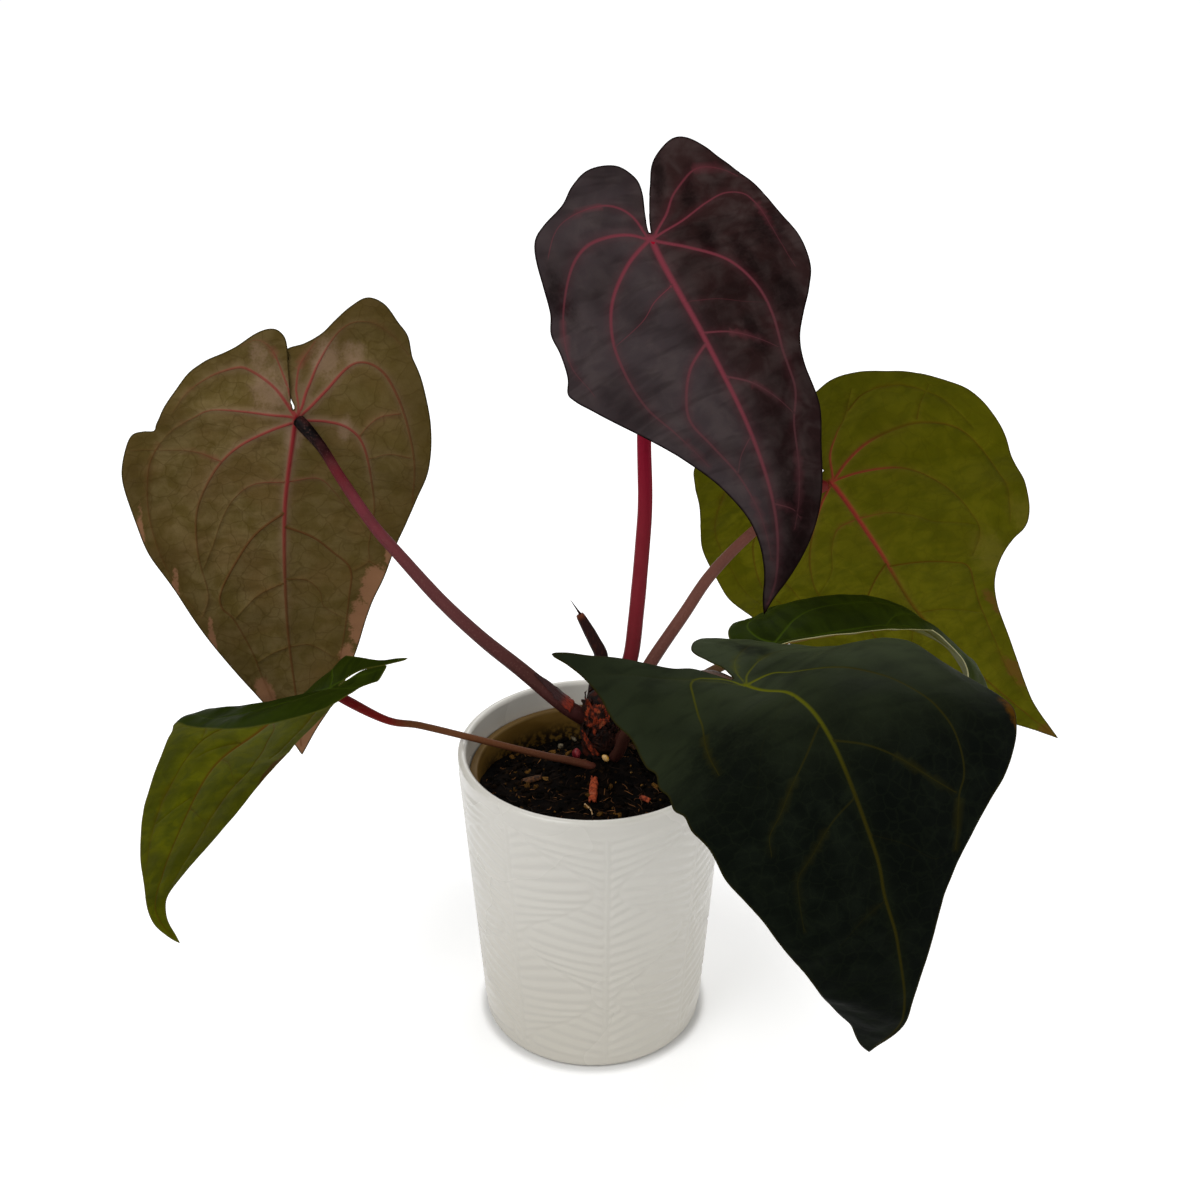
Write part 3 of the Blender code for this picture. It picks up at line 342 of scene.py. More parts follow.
# Discoloured patches and patches of painted shade: (attribute, along, across, radius along, radius across) in
# flat mm. A shade is painted shade, a darker patch of the upper face where a fold or the lie of the blade
# keeps light off it.
STAINS_AND_SHADES = {
    "left_back": [("pale", -14, -14, 20, 12), ("pale", -32, 16, 18, 10), ("pale", 10, 1, 14, 8),
                  ("pale", -34, 30, 10, 8), ("pale", -34, -18, 10, 7), ("pale", 6, 26, 10, 5),
                  ("dry", 92, 60, 12, 6), ("dry", 112, 50, 20, 11), ("dry", 138, 41, 22, 9),
                  ("dry", 164, 32, 18, 7), ("dry", 84, -76, 34, 3), ("dry", 118, -59, 34, 3),
                  ("dry", 150, -42, 34, 3), ("dry", 182, -18, 20, 8), ("dry", 206, 3, 26, 24)],
    "top": [("dry", 192, 0, 5, 5), ("shade", 14, -53, 20, 11), ("shade", -22, -20, 12, 5),
            ("shade", 30, -36, 18, 6), ("shade", 150, -9, 34, 7), ("shade", 10, -24, 12, 5),
            ("shade", -30, -6, 14, 4), ("shade", 62, -22, 16, 5), ("shade", 9, 51, 12, 8),
            ("shade", 51, -44, 14, 9), ("shade", 172, -4, 16, 5)],
    "right_back": [("dry", 150, 40, 44, 6), ("dry", 196, 18, 34, 8), ("dry", 236, 0, 16, 14),
                   ("pale", 66, 84, 18, 12), ("pale", 84, 56, 30, 14)],
    "front": [("dry", 80, -87, 22, 8), ("shade", 40, 40, 34, 22), ("shade", 108, -12, 36, 18),
              ("shade", -22, -30, 14, 10)],
    "low_left": [("dry", 120, 46, 60, 4)],
    "right": [("pale", 30, -44, 40, 14), ("shade", -4, -4, 12, 8)],
}

# Petiole routes from the stem to just under the blade, mm, with radii along them.
PETIOLES = {
    "left_back": ([(-4, 23, 169), (-16, 20, 180), (-37, 24, 198), (-58, 30, 214),
                   (-79, 38, 232), (-100, 48, 253), (-114, 56, 267), (-130, 65, 289),
                   (-140, 70, 305), (-152, 77.4, 317)], (4.4, 3.7, 3.1, 2.5)),
    "top": ([(8, 26, 175), (14, 28.5, 188), (20, 30, 201), (23, 33, 226), (26, 36, 266),
             (27, 37, 290), (26, 36, 327), (26, 34, 381), (28, 31, 410), (28.4, 21.6, 428.9)],
            (4.2, 3.7, 2.6)),
    "right_back": ([(10, 24, 163), (21, 25.5, 180), (31, 30, 199), (48, 40, 222), (63, 52, 240),
                    (85, 72, 254), (107, 94, 260), (128, 112.6, 263.5)], (3.8, 3.1, 2.4)),
    "front": ([(9, 20, 144), (13.5, 12, 154), (18, 0, 174), (28, -24, 206), (40, -55, 236),
               (53, -92, 262), (64, -126, 275.7)], (3.2, 2.9, 2.4)),
    "low_left": ([(3, 17, 139), (-1, 9.5, 147.5), (-12, 8, 152), (-26, 7, 156), (-59, 5, 167),
                  (-89, 3, 177), (-107, 1, 182), (-133.8, 0.4, 198.9)], (2.4, 1.8, 1.8, 2.2)),
    "right": ([(10, 21, 154), (21, 13, 169), (36, 3, 190), (56, -10, 214), (76, -23, 233),
               (89, -30, 240.1)], (3.0, 2.6, 2.2)),
}
NEW_LEAF = [(0, 30, 172), (3, 34, 190), (5.0, 34.5, 200), (1.2, 36, 208.8), (-3.0, 37.5, 216.8),
            (-6.4, 38.2, 223.2)]
NEW_LEAF_HAIR = [(-5.4, 38.6, 222), (-8.2, 39.1, 226.4), (-11.2, 39.7, 231)]


# ---------------------------------------------------------------- nodes

def tone(colour):
    """A colour as a paint chart gives it, 0 to 255, turned into a linear one."""
    return (*(((part / 255 + 0.055) / 1.055) ** 2.4 for part in colour), 1.0)


class Nodes:
    """Short calls for the nodes of one shader tree."""

    def __init__(self, tree):
        self.tree = tree

    def feed(self, socket, value):
        if isinstance(value, bpy.types.NodeSocket):
            self.tree.links.new(value, socket)
        else:
            socket.default_value = value

    def add(self, kind, inputs, result=0, **settings):
        """A new node with its settings, fed by input name or number; gives one of its outputs."""
        node = self.tree.nodes.new(f"ShaderNode{kind}")
        for name, value in settings.items():
            setattr(node, name, value)
        for key, value in inputs.items():
            self.feed(node.inputs[key], value)
        return node.outputs[result]

    def attribute(self, name, result="Fac"):
        return self.add("Attribute", {}, result, attribute_name=name)

    def place(self, stretch=(1, 1, 1), source=None):
        """Object coordinates (metres), or another vector, stretched."""
        if source is None:
            source = self.add("TexCoord", {}, "Object")
        return self.add("Mapping", {"Vector": source, "Scale": stretch})

    def noise(self, vector, scale, detail=3.0, distortion=0.0):
        inputs = {"Vector": vector, "Scale": scale, "Detail": detail, "Distortion": distortion}
        return self.add("TexNoise", inputs, "Fac")

    def cells(self, vector, scale, result="Color", **settings):
        """A random grey for each Voronoi cell."""
        return self.add("TexVoronoi", {"Vector": vector, "Scale": scale}, result, **settings)

    def net(self, vector, scale):
        """Distance to the edges of Voronoi cells."""
        return self.cells(vector, scale, "Distance", feature="DISTANCE_TO_EDGE")

    def wobble(self, vector, scale, amount):
        """The vector, pushed about by noise."""
        push = self.add("TexNoise", {"Vector": vector, "Scale": scale}, "Color")
        inputs = {0: push, 1: (amount, amount, amount), 2: vector}
        return self.add("VectorMath", inputs, operation="MULTIPLY_ADD")

    def maths(self, operation, first, second):
        return self.add("Math", {0: first, 1: second}, operation=operation)

    def step(self, value, start, stop, low=0.0, high=1.0):
        """From low to high while the value goes from start to stop, smooth between them."""
        if start > stop:
            start, stop, low, high = stop, start, high, low
        inputs = {"Value": value, "From Min": start, "From Max": stop, "To Min": low, "To Max": high}
        return self.add("MapRange", inputs, "Result", interpolation_type="SMOOTHSTEP")

    def level(self, start, stop):
        """0 at one height (mm) and 1 at the other, smooth between them."""
        return self.step(self.add("SeparateXYZ", {0: self.place()}, "Z"), start * MM, stop * MM)

    def seen(self):
        """1 on rays from the eye, a mirror or glass, and 0 on rays that carry light."""
        path = self.tree.nodes.new("ShaderNodeLightPath").outputs
        mirror = self.maths("MAXIMUM", path["Is Camera Ray"], path["Is Glossy Ray"])
        return self.maths("MAXIMUM", mirror, path["Is Transmission Ray"])


class Finish(Nodes):
    """One procedural material: a Principled shader that is painted layer on layer.

    Colours are three numbers as on a paint chart, or sockets.
    """

    def __init__(self, name, gloss, body, **plain):
        self.material = bpy.data.materials.new(name)
        self.material.use_nodes = True
        super().__init__(self.material.node_tree)
        self.shader = self.tree.nodes["Principled BSDF"]
        self.body = body
        for key, value in {"Specular IOR Level": gloss, **plain}.items():
            self.shader.inputs[key.replace("_", " ")].default_value = value

    def mix(self, share, first, second):
        colours = [tone(colour) if isinstance(colour, tuple) else colour for colour in (first, second)]
        inputs = {"Factor": share, "A": colours[0], "B": colours[1]}
        return self.add("Mix", inputs, "Result", data_type="RGBA")

    def lay(self, where, colour, share=1.0):
        """Lay a colour over what is painted so far, as far as `where` and the share say."""
        if share != 1.0:
            where = self.maths("MULTIPLY", where, share)
        self.body = self.mix(where, self.body, colour)

    def done(self, share, smooth, rough, *bumps):
        """The material, its roughness between two values, its bumps as (height, strength, mm)."""
        self.feed(self.shader.inputs["Base Color"], self.body)
        inputs = {"Value": share, "To Min": smooth, "To Max": rough}
        self.feed(self.shader.inputs["Roughness"], self.add("MapRange", inputs, "Result"))
        below = {}
        for height, strength, depth in bumps:
            inputs = {"Height": height, "Strength": strength, "Distance": depth * MM, **below}
            below = {"Normal": self.add("Bump", inputs)}
        self.feed(self.shader.inputs["Normal"], below["Normal"])
        return self.material


# ---------------------------------------------------------------- camera, light and floor

LENS = 54.5
SENSOR = 36
CAMERA_PLACE = (0, -0.80, 0.675)
CAMERA_AIM = (0.004, 0, 0.252)
WORLD_LIGHT = 0.55
# (name, place, height of the point it shines at, size, power)
LAMPS = (("key", (-0.9, -0.9, 1.7), 0.20, 1.1, 16.0), ("fill", (1.3, -1.0, 0.9), 0.20, 1.2, 6.0),
         ("back", (0.3, 1.5, 1.4), 0.25, 1.0, 7.0))
FLOOR_SIZE = 12
FLOOR_PAINT = 0.80
FLOOR_GLOW = (0.37, 0.56)  # what the floor's look adds to its light, near the pot and far from it; the stronger glow far off is painted light that washes out the leaves' shadows
FLOOR_GLOW_REACH = (0.09, 0.19)
FLOOR_CONTACT_SHADOW = (0.0590, 0.0650)  # radii between which the floor goes from its own look to glowing: a thin painted contact shadow round the pot's foot


def linked(name, data, place=(0, 0, 0), target=None):
    """A new object in the scene, turned to look at its target if it has one."""
    made = bpy.data.objects.new(name, data)
    bpy.context.scene.collection.objects.link(made)
    made.location = place
    if target is not None:
        made.rotation_euler = (Vector(target) - Vector(place)).to_track_quat("-Z", "Y").to_euler()
    return made


def add_camera():
    lens = bpy.data.cameras.new("camera")
    lens.lens = LENS
    lens.sensor_width = SENSOR
    bpy.context.scene.camera = linked("camera", lens, CAMERA_PLACE, CAMERA_AIM)


def add_lamps():
    for name, place, aim, size, power in LAMPS:
        light = bpy.data.lights.new(name, "AREA")
        light.shape = "DISK"
        light.size = size
        light.energy = power
        linked(name, light, place, (0, 0, aim))


def add_world():
    """An even white sky that looks whiter than it lights."""
    world = bpy.data.worlds.new("studio")
    bpy.context.scene.world = world
    world.use_nodes = True
    nodes = Nodes(world.node_tree)
    nodes.tree.nodes.remove(nodes.tree.nodes["Background"])
    lit, looks = (nodes.add("Background", {"Color": (1, 1, 1, 1), "Strength": strength})
                  for strength in (WORLD_LIGHT, 1.0))
    sky = nodes.add("MixShader", {0: nodes.seen(), 1: lit, 2: looks})
    nodes.feed(nodes.tree.nodes["World Output"].inputs["Surface"], sky)


def add_floor():
    """A pale floor that looks white and keeps the object's shadow near its foot, with a painted contact
    shadow in a thin ring round the foot.
    """
    bpy.ops.mesh.primitive_plane_add(size=FLOOR_SIZE, location=(0, 0, 0))
    floor = bpy.context.object
    floor.name = "floor"
    paint = bpy.data.materials.new("floor")
    paint.use_nodes = True
    nodes = Nodes(paint.node_tree)
    nodes.tree.nodes.remove(nodes.tree.nodes["Principled BSDF"])
    radius = nodes.add("VectorMath", {0: nodes.add("TexCoord", {}, "Object")}, "Value", operation="LENGTH")
    # Painted light: more glow far from the pot, which washes out the leaves' shadows there.
    glow = nodes.step(radius, *FLOOR_GLOW_REACH, *FLOOR_GLOW)
    # Painted contact shadow: no glow in a thin ring round the pot's foot.
    glow = nodes.maths("MULTIPLY", glow, nodes.step(radius, *FLOOR_CONTACT_SHADOW))
    glow = nodes.add("Emission", {"Strength": nodes.maths("MULTIPLY", glow, nodes.seen())})
    diffuse = nodes.add("BsdfDiffuse", {"Color": (FLOOR_PAINT, FLOOR_PAINT, FLOOR_PAINT, 1)})
    both = nodes.add("AddShader", {0: diffuse, 1: glow})
    nodes.feed(nodes.tree.nodes["Material Output"].inputs["Surface"], both)
    floor.data.materials.append(paint)


def add_stage():
    bpy.context.scene.view_settings.view_transform = "Standard"
    add_camera()
    add_world()
    add_lamps()
    add_floor()


# ---------------------------------------------------------------- finishes of the blades

def leaf_grounds(finish, scale, amount):
    """A blade's flat coordinates (mm), the same softly pushed about, and two noises on those."""
    flat = finish.attribute("flat", "Vector")
    soft = finish.wobble(flat, scale, amount)
    return flat, soft, finish.noise(soft, 0.030, 2.0), finish.noise(soft, 0.10, 3.0, 0.4)


def stain_and_shade(finish, kind, start, stop):
    """How far a patch, a stain or painted shade, covers a place: its ragged edge comes from coarse and fine
    noise.
    """
    flat = finish.attribute("flat", "Vector")
    coarse = finish.maths("MULTIPLY", finish.noise(finish.wobble(flat, 0.10, 5.0), 0.16, 3.0), 0.9)
    fine = finish.maths("MULTIPLY", finish.noise(flat, 0.75, 4.0), 0.5)
    there = finish.maths("MULTIPLY", finish.attribute(kind), 1.6)
    return finish.step(finish.maths("MULTIPLY", there, finish.maths("ADD", coarse, fine)), start, stop)


def lay_veins(finish, look):
    vein = finish.mix(finish.step(finish.attribute("away"), *look["vein_turn"]), *look["vein"])
    finish.lay(finish.attribute("vein"), vein)


def leaf_upper(name, look):
    """The velvet upper face: softly mottled, with dim veins sunk in it, and painted shade: darker towards the
    tip, in streaks across folds and in patches, with one half painted lighter or darker by how light falls on
    it.
    """
    finish = Finish(name, look["gloss"], look["near"])
    flat, soft, broad, patch = leaf_grounds(finish, 0.05, 6.0)
    streak = finish.noise(finish.place((0.15, 0.035, 0), soft), 1.0, 2.0, 0.3)
    cells = finish.net(finish.wobble(flat, 0.3, 2.2), 0.15)
    cast, cast_share = look["cast"]
    # Painted shade: the blade darkens from the joint towards the tip, which turns away from the light (the
    # green blades barely change).
    finish.lay(finish.step(finish.attribute("reach"), 0.0, look["far_from"]), look["far"])
    # Painted light and shade: the high half is painted lighter, as sheen, on the maroon faces and darker, as
    # shade, on the dark green ones, by how light falls on each half.
    finish.lay(finish.attribute("side"), *look["side"])
    finish.lay(finish.step(patch, 0.36, 0.72), *look["light"])
    finish.lay(finish.step(broad, 0.42, 0.68), cast, cast_share)
    # Painted shade: dark streaks that stand in for the shade of soft folds.
    finish.lay(finish.step(streak, 0.48, 0.66), cast, look["streak"])
    # Painted shade: patches where folds and the lie of the blade keep light off it.
    finish.lay(stain_and_shade(finish, "shade", 0.15, 1.25), cast, 0.75)
    finish.lay(finish.attribute("halo"), *look["halo"])
    finish.lay(finish.step(cells, 0.08, 0.0), *look["net"])
    finish.lay(stain_and_shade(finish, "dry", 0.50, 1.00), look["dry"])
    lay_veins(finish, look)
    finish.lay(finish.step(finish.attribute("rim"), 1.0, 0.1), look["rim"])
    return finish.done(patch, *look["rough"], (finish.step(cells, 0.0, 0.30), 0.14, 0.3),
                       (finish.noise(flat, 2.6, 3.0), 0.22, 0.08))


def leaf_under(name, look):
    """The under face: matt, with raised veins, a faint net between them, dry patches and streaks of painted
    shade across its folds.
    """
    finish = Finish(name, 0.025, look["dark"])
    flat, soft, broad, patch = leaf_grounds(finish, 0.06, 8.0)
    streak = finish.noise(finish.place((0.16, 0.04, 0), soft), 1.0, 2.0, 0.3)
    fine = finish.net(finish.wobble(flat, 0.35, 1.6), 0.30)
    coarse = finish.net(finish.wobble(flat, 0.14, 5.0), 0.085)
    netting = finish.maths("MAXIMUM", finish.maths("MULTIPLY", finish.step(fine, 0.12, 0.0), 0.22),
                           finish.maths("MULTIPLY", finish.step(coarse, 0.045, 0.0), 0.8))
    near_joint = finish.step(finish.attribute("away"), 0.85, 0.10)
    border, border_share = look["border"]
    finish.lay(finish.step(patch, 0.32, 0.70), look["light"])
    finish.lay(finish.attribute("side"), *look["side"])
    finish.lay(finish.step(broad, 0.42, 0.68), look["cast"], 0.5)
    finish.lay(finish.step(finish.attribute("rim"), 24.0, 3.0), border, border_share)
    # Painted shade: streaks in the border colour that stand in for the shade of soft folds.
    finish.lay(finish.step(streak, 0.46, 0.68), border, look["streak"])
    finish.lay(netting, *look["net"])
    finish.lay(stain_and_shade(finish, "pale", 0.40, 1.25), look["pale"], 0.6)
    finish.lay(finish.maths("MULTIPLY", finish.attribute("halo"), near_joint), *look["halo"])
    finish.lay(stain_and_shade(finish, "dry", 0.52, 0.80), look["dry"])
    lay_veins(finish, look)
    finish.lay(finish.step(finish.attribute("rim"), look["rim_wide"], 0.2), look["rim"])
    return finish.done(patch, 0.50, 0.68, (finish.step(coarse, 0.10, 0.0), 0.16, 0.3),
                       (finish.step(fine, 0.16, 0.0), 0.10, 0.2), (finish.noise(flat, 2.2, 3.0), 0.18, 0.08))


# Colours of a face, most with the share that they are laid on with. A vein's two colours are those
# at the joint and far from it, and vein_turn says between which shares of the way they change.
# In the upper looks, near, far and far_from paint light and shade from the joint to the tip, darker towards
# the tip on the dark green and maroon faces; side paints the high half lighter or darker by how light falls
# on it; streak is the share of painted shade across folds, in the cast colour.
UPPER_DARK_GREEN = {
    "near": (52, 59, 38), "far": (9, 12, 9), "far_from": 0.60, "side": ((11, 15, 10), 0.60),
    "light": ((38, 45, 32), 0.15), "cast": ((8, 11, 8), 0.35), "streak": 0.25, "halo": ((44, 50, 18), 0.12),
    "net": ((40, 48, 28), 0.07), "vein": ((86, 88, 14), (44, 40, 8)), "vein_turn": (0.05, 0.40),
    "dry": (70, 44, 4), "rim": (34, 32, 10), "gloss": 0.006, "rough": (0.40, 0.55),
}
UPPER_MAROON = {
    "near": (44, 28, 27), "far": (32, 20, 20), "far_from": 1.0, "side": ((62, 55, 57), 0.75),
    "light": ((82, 72, 70), 0.30), "cast": ((14, 6, 6), 0.40), "streak": 0.28, "halo": ((88, 40, 48), 0.35),
    "net": ((62, 42, 44), 0.07), "vein": ((114, 50, 60), (88, 52, 56)), "vein_turn": (0.25, 0.80),
    "dry": (50, 24, 10), "rim": (16, 8, 6), "gloss": 0.008, "rough": (0.42, 0.58),
}
UPPER_GREEN = {
    "near": (34, 44, 5), "far": (38, 46, 5), "far_from": 1.0, "side": ((38, 46, 6), 0.2),
    "light": ((44, 56, 7), 0.45), "cast": ((20, 28, 3), 0.4), "streak": 0.45, "halo": ((46, 58, 10), 0.2),
    "net": ((42, 52, 10), 0.07), "vein": ((54, 70, 10), (48, 60, 7)), "vein_turn": (0.1, 0.6),
    "dry": (70, 60, 12), "rim": (66, 68, 22), "gloss": 0.006, "rough": (0.38, 0.52),
}
# In the under looks, streak is the share of painted shade across folds, in the border colour.
UNDER_OLIVE_BROWN = {
    "dark": (92, 77, 38), "light": (116, 99, 63), "side": ((90, 75, 38), 0.45), "cast": (106, 82, 48),
    "pale": (142, 116, 94), "halo": ((154, 124, 106), 0.55), "net": ((66, 50, 16), 0.45),
    "vein": ((132, 38, 42), (88, 52, 24)), "vein_turn": (0.22, 0.62), "dry": (136, 98, 70),
    "rim": (58, 48, 20), "rim_wide": 0.9, "border": ((74, 59, 25), 0.5), "streak": 0.30,
}
UNDER_YELLOW_GREEN = {
    "dark": (80, 80, 0), "light": (100, 98, 12), "side": ((92, 88, 5), 0.3), "cast": (94, 90, 10),
    "pale": (108, 100, 30), "halo": ((128, 104, 44), 0.35), "net": ((70, 60, 0), 0.30),
    "vein": ((140, 48, 40), (86, 62, 6)), "vein_turn": (0.24, 0.40), "dry": (96, 72, 22),
    "rim": (70, 64, 10), "rim_wide": 0.9, "border": ((70, 70, 0), 0.3), "streak": 0.40,
}
UNDER_GREEN = {
    "dark": (72, 76, 0), "light": (100, 102, 0), "side": ((62, 64, 0), 0.4), "cast": (80, 78, 0),
    "pale": (106, 102, 44), "halo": ((124, 116, 30), 0.6), "net": ((54, 56, 0), 0.25),
    "vein": ((110, 64, 16), (80, 58, 4)), "vein_turn": (0.1, 0.8), "dry": (66, 46, 6),
    "rim": (84, 80, 24), "rim_wide": 0.9, "border": ((54, 56, 0), 0.3), "streak": 0.25,
}
UNDER_PALE_RIM = {**UNDER_GREEN, "rim": (184, 178, 132), "rim_wide": 2.0, "dark": (74, 74, 0)}
# (upper look, under look, material slot)
LEAF_LOOKS = {
    "left_back": (UPPER_MAROON, UNDER_OLIVE_BROWN, "young_leaf"),
    "top": (UPPER_MAROON, UNDER_OLIVE_BROWN, "young_leaf"),
    "right_back": (UPPER_DARK_GREEN, UNDER_YELLOW_GREEN, "old_leaf"),
    "front": (UPPER_DARK_GREEN, UNDER_GREEN, "old_leaf"),
    "low_left": (UPPER_GREEN, UNDER_GREEN, "old_leaf"),
    "right": (UPPER_GREEN, UNDER_PALE_RIM, "old_leaf"),
}


# ---------------------------------------------------------------- lines and surfaces

def unit(vectors):
    return vectors / np.linalg.norm(vectors, axis=-1)[..., None]


def lengths_along(line):
    return np.concatenate([[0], np.cumsum(np.linalg.norm(np.diff(line, axis=0), axis=1))])


def turns_of(steps):
    """Evenly spaced angles of a full turn."""
    return np.linspace(0, 2 * math.pi, steps, endpoint=False)


def read_rows(wanted, stations, table):
    """Rows of a table at the wanted places between its stations."""
    return np.stack([np.interp(wanted, stations, column) for column in np.asarray(table, float).T], -1)


def smooth_line(points, per_span):
    """Points of a Catmull-Rom curve through the given ones."""
    given = np.asarray(points, float)
    ends = np.vstack([2 * given[0] - given[1], given, 2 * given[-1] - given[-2]])
    share = np.linspace(0, 1, per_span, endpoint=False)[:, None]
    line = []
    for a, b, c, d in zip(ends, ends[1:], ends[2:], ends[3:]):
        line.append(0.5 * (2 * b + (c - a) * share + (2 * a - 5 * b + 4 * c - d) * share**2
                           + (3 * b - a - 3 * c + d) * share**3))
    return np.vstack(line + [given[-1]])


def spread(line, step):
    """Evenly spaced points along a line, about one step apart, with both ends."""
    travelled = lengths_along(line)
    wanted = np.linspace(0, travelled[-1], max(2, round(travelled[-1] / step) + 1))
    return read_rows(wanted, travelled, line)


def bumpy(*place):
    """Noise from -1 to 1 at one place."""
    return noise.noise(Vector(place))


def waves(x, y, long, wide, seed):
    """Noise from -1 to 1 at flat points, stretched to a length and a width."""
    return np.array([bumpy(u, v, seed) for u, v in zip(x / long, y / wide)])


class Blade:
    """The bent surface of a leaf: at(along, across) gives points in mm."""

    SPAN = 24  # points of the midrib between two given ones
    GRID = 2.0  # mm between the points of the ease grid
    GRID_ALONG = (-80, 264)
    GRID_ACROSS = (-104, 106)
    CROWDED = (0.60, 0.30)  # the stretch at which easing begins, and how much less makes it full
    WIDEN_ROUNDS, BLUR_ROUNDS, EASE_ROUNDS = 4, 6, 500

    def __init__(self, shape):
        self.shape = shape
        self.line = smooth_line(shape["spine"], self.SPAN)
        travelled = lengths_along(self.line)
        self.along = travelled - travelled[shape["joint"] * self.SPAN]
        self.heading = unit(np.gradient(self.line, self.along, axis=0))
        self.shift = self._ease()

    def _ease(self):
        """Shifts on a flat grid that spread the surface where a bend would crowd or cross it."""
        along, across = np.meshgrid(np.arange(*self.GRID_ALONG, self.GRID),
                                    np.arange(*self.GRID_ACROSS, self.GRID), indexing="ij")
        plain = self._bent(along, across)
        held = np.clip(along, self.along[0], self.along[-1])
        heading = unit(read_rows(held, self.along, self.heading))
        stretch = (np.gradient(plain, self.GRID, axis=0) * heading).sum(-1)
        crowded = np.clip((self.CROWDED[0] - stretch) / self.CROWDED[1], 0, 1)
        for _ in range(self.WIDEN_ROUNDS):
            wide = np.pad(crowded, 1, mode="edge")
            crowded = np.maximum.reduce([wide[1:-1, 1:-1], wide[:-2, 1:-1], wide[2:, 1:-1],
                                         wide[1:-1, :-2], wide[1:-1, 2:]])
        for _ in range(self.BLUR_ROUNDS):
            crowded = self._mean(crowded[..., None])[..., 0]
        eased = plain.copy()
        for _ in range(self.EASE_ROUNDS):
            eased += crowded[..., None] * (self._mean(eased) - eased)
        return eased - plain

    @staticmethod
    def _mean(grid):
        """The mean of the four neighbours of every grid point."""
        wide = np.pad(grid, ((1, 1), (1, 1), (0, 0)), mode="reflect", reflect_type="odd")
        return (wide[:-2, 1:-1] + wide[2:, 1:-1] + wide[1:-1, :-2] + wide[1:-1, 2:]) / 4

    def at(self, along, across):
        """The eased surface."""
        row = np.clip((along - self.GRID_ALONG[0]) / self.GRID, 0, self.shift.shape[0] - 1.001)
        column = np.clip((across - self.GRID_ACROSS[0]) / self.GRID, 0, self.shift.shape[1] - 1.001)
        i, j = row.astype(int), column.astype(int)
        u, v = (row - i)[..., None], (column - j)[..., None]
        low = self.shift[i, j] * (1 - v) + self.shift[i, j + 1] * v
        high = self.shift[i + 1, j] * (1 - v) + self.shift[i + 1, j + 1] * v
        return self._bent(along, across) + low * (1 - u) + high * u

    def _bent(self, along, across):
        held = np.clip(along, self.along[0], self.along[-1])
        heading = unit(read_rows(held, self.along, self.heading))
        middle = read_rows(held, self.along, self.line) + heading * (along - held)[..., None]
        up = read_rows(along, *zip(*self.shape["looks"]))
        aside = unit(np.cross(heading, up))
        up = np.cross(aside, heading)
        stations, *folds = zip(*self.shape["folds"])
        low_rise, low_bend, high_rise, high_bend = (np.interp(along, stations, fold) for fold in folds)
        rise = np.radians(np.where(across > 0, high_rise, low_rise))
        bend = np.radians(np.where(across > 0, high_bend, low_bend)) / 10
        bend = np.where(np.abs(bend) < 1e-6, 1e-6, bend)
        reach = np.abs(across)
        out = (np.sin(rise + bend * reach) - np.sin(rise)) / bend * np.sign(across)
        lift = (np.cos(rise) - np.cos(rise + bend * reach)) / bend
        height, wave = self.shape["ripple"]
        phase = 2 * math.pi * along / wave + np.where(across > 0, 1.9, 0.0)
        lift = lift + height * np.sin(phase) * (reach / 60) ** 2
        return middle + aside * out[..., None] + up * lift[..., None]

    def outline(self, count):
        """Evenly spaced (along, across) points round the margin, from the tip and back to it."""
        low, high = (smooth_line([*self.shape[side], self.shape["tip"]], 8) for side in ("low", "high"))
        loop = np.vstack([low[::-1], high[:-1]])
        closed = np.vstack([loop, loop[:1]])
        travelled = lengths_along(closed)
        return read_rows(np.linspace(0, travelled[-1], count, endpoint=False), travelled, closed)

    def normals(self, flat):
        """Directions that the upper face looks in, at flat points."""
        along, across = flat.T
        step = 0.8
        ahead = self.at(along + step, across) - self.at(along - step, across)
        aside = self.at(along, across + step) - self.at(along, across - step)
        return unit(np.cross(aside, ahead))


# ---------------------------------------------------------------- leaves

# Relief of a blade, in millimetres.
CALM_MARGIN = 9  # width in which the swelling fades towards the margin
QUILT_WIDTH = 8  # way from a strong vein to the full swell
FOLDS = ((0.65, 11, 30, 3.7), (0.8, 26, 26, 8.1))  # (height, length along, length across, seed)
FOLD_WIDTH = 6  # way from a strong vein to full folds
WRINKLES = (8, 45, 5.3)  # (length round the margin, length inwards, seed)
WRINKLE_REACH = 17
GROOVE = 0.45  # depth of a vein in the upper face, in half widths
RIDGE = (0.35, 0.75)  # height of a vein on the under face: mm, and half widths more
RIDGE_BLUNT = 0.15  # half width below which a ridge is much lower
RELIEF_HALVES = 1.6  # half widths at which groove and ridge end
COLLAR = (0.9, 2.6)  # height and radius of the swelling at the petiole joint
RIM_THIN = (0.55, 0.45, 3)  # (share of the thickness at the margin, the rest, way to the whole)
RIM_ROUND = 0.35  # of the sheet, how far the rim's middle stands out
LAP = (9, 7, 8)  # (reach across, start behind the joint, way to the full lap)

# What the looks read, in millimetres.
VEIN_EDGE = 1.55  # half widths at which a vein's colour ends
HALO_FADE = 1.3  # way beside a vein over which its halo fades
HALO_FULL = 0.5  # half width from which a vein has a full halo
REACH_FULL = 140  # distance beyond the joint at which "reach" is 1
AWAY_FULL = 110  # distance from the joint at which "away" is 1
STAIN_AND_SHADE_EDGE = 1.35  # radii at which a stain or a patch of painted shade ends

def inside(points, loop):
    """Which flat points lie inside a closed loop."""
    x, y = points[:, 0:1], points[:, 1:2]
    x1, y1 = loop.T
    x2, y2 = np.roll(x1, -1), np.roll(y1, -1)
    crosses = (y1 > y) != (y2 > y)
    slope = (x2 - x1) / np.where(y2 == y1, 1e-9, y2 - y1)
    return (crosses & (x < x1 + slope * (y - y1))).sum(1) % 2 == 1


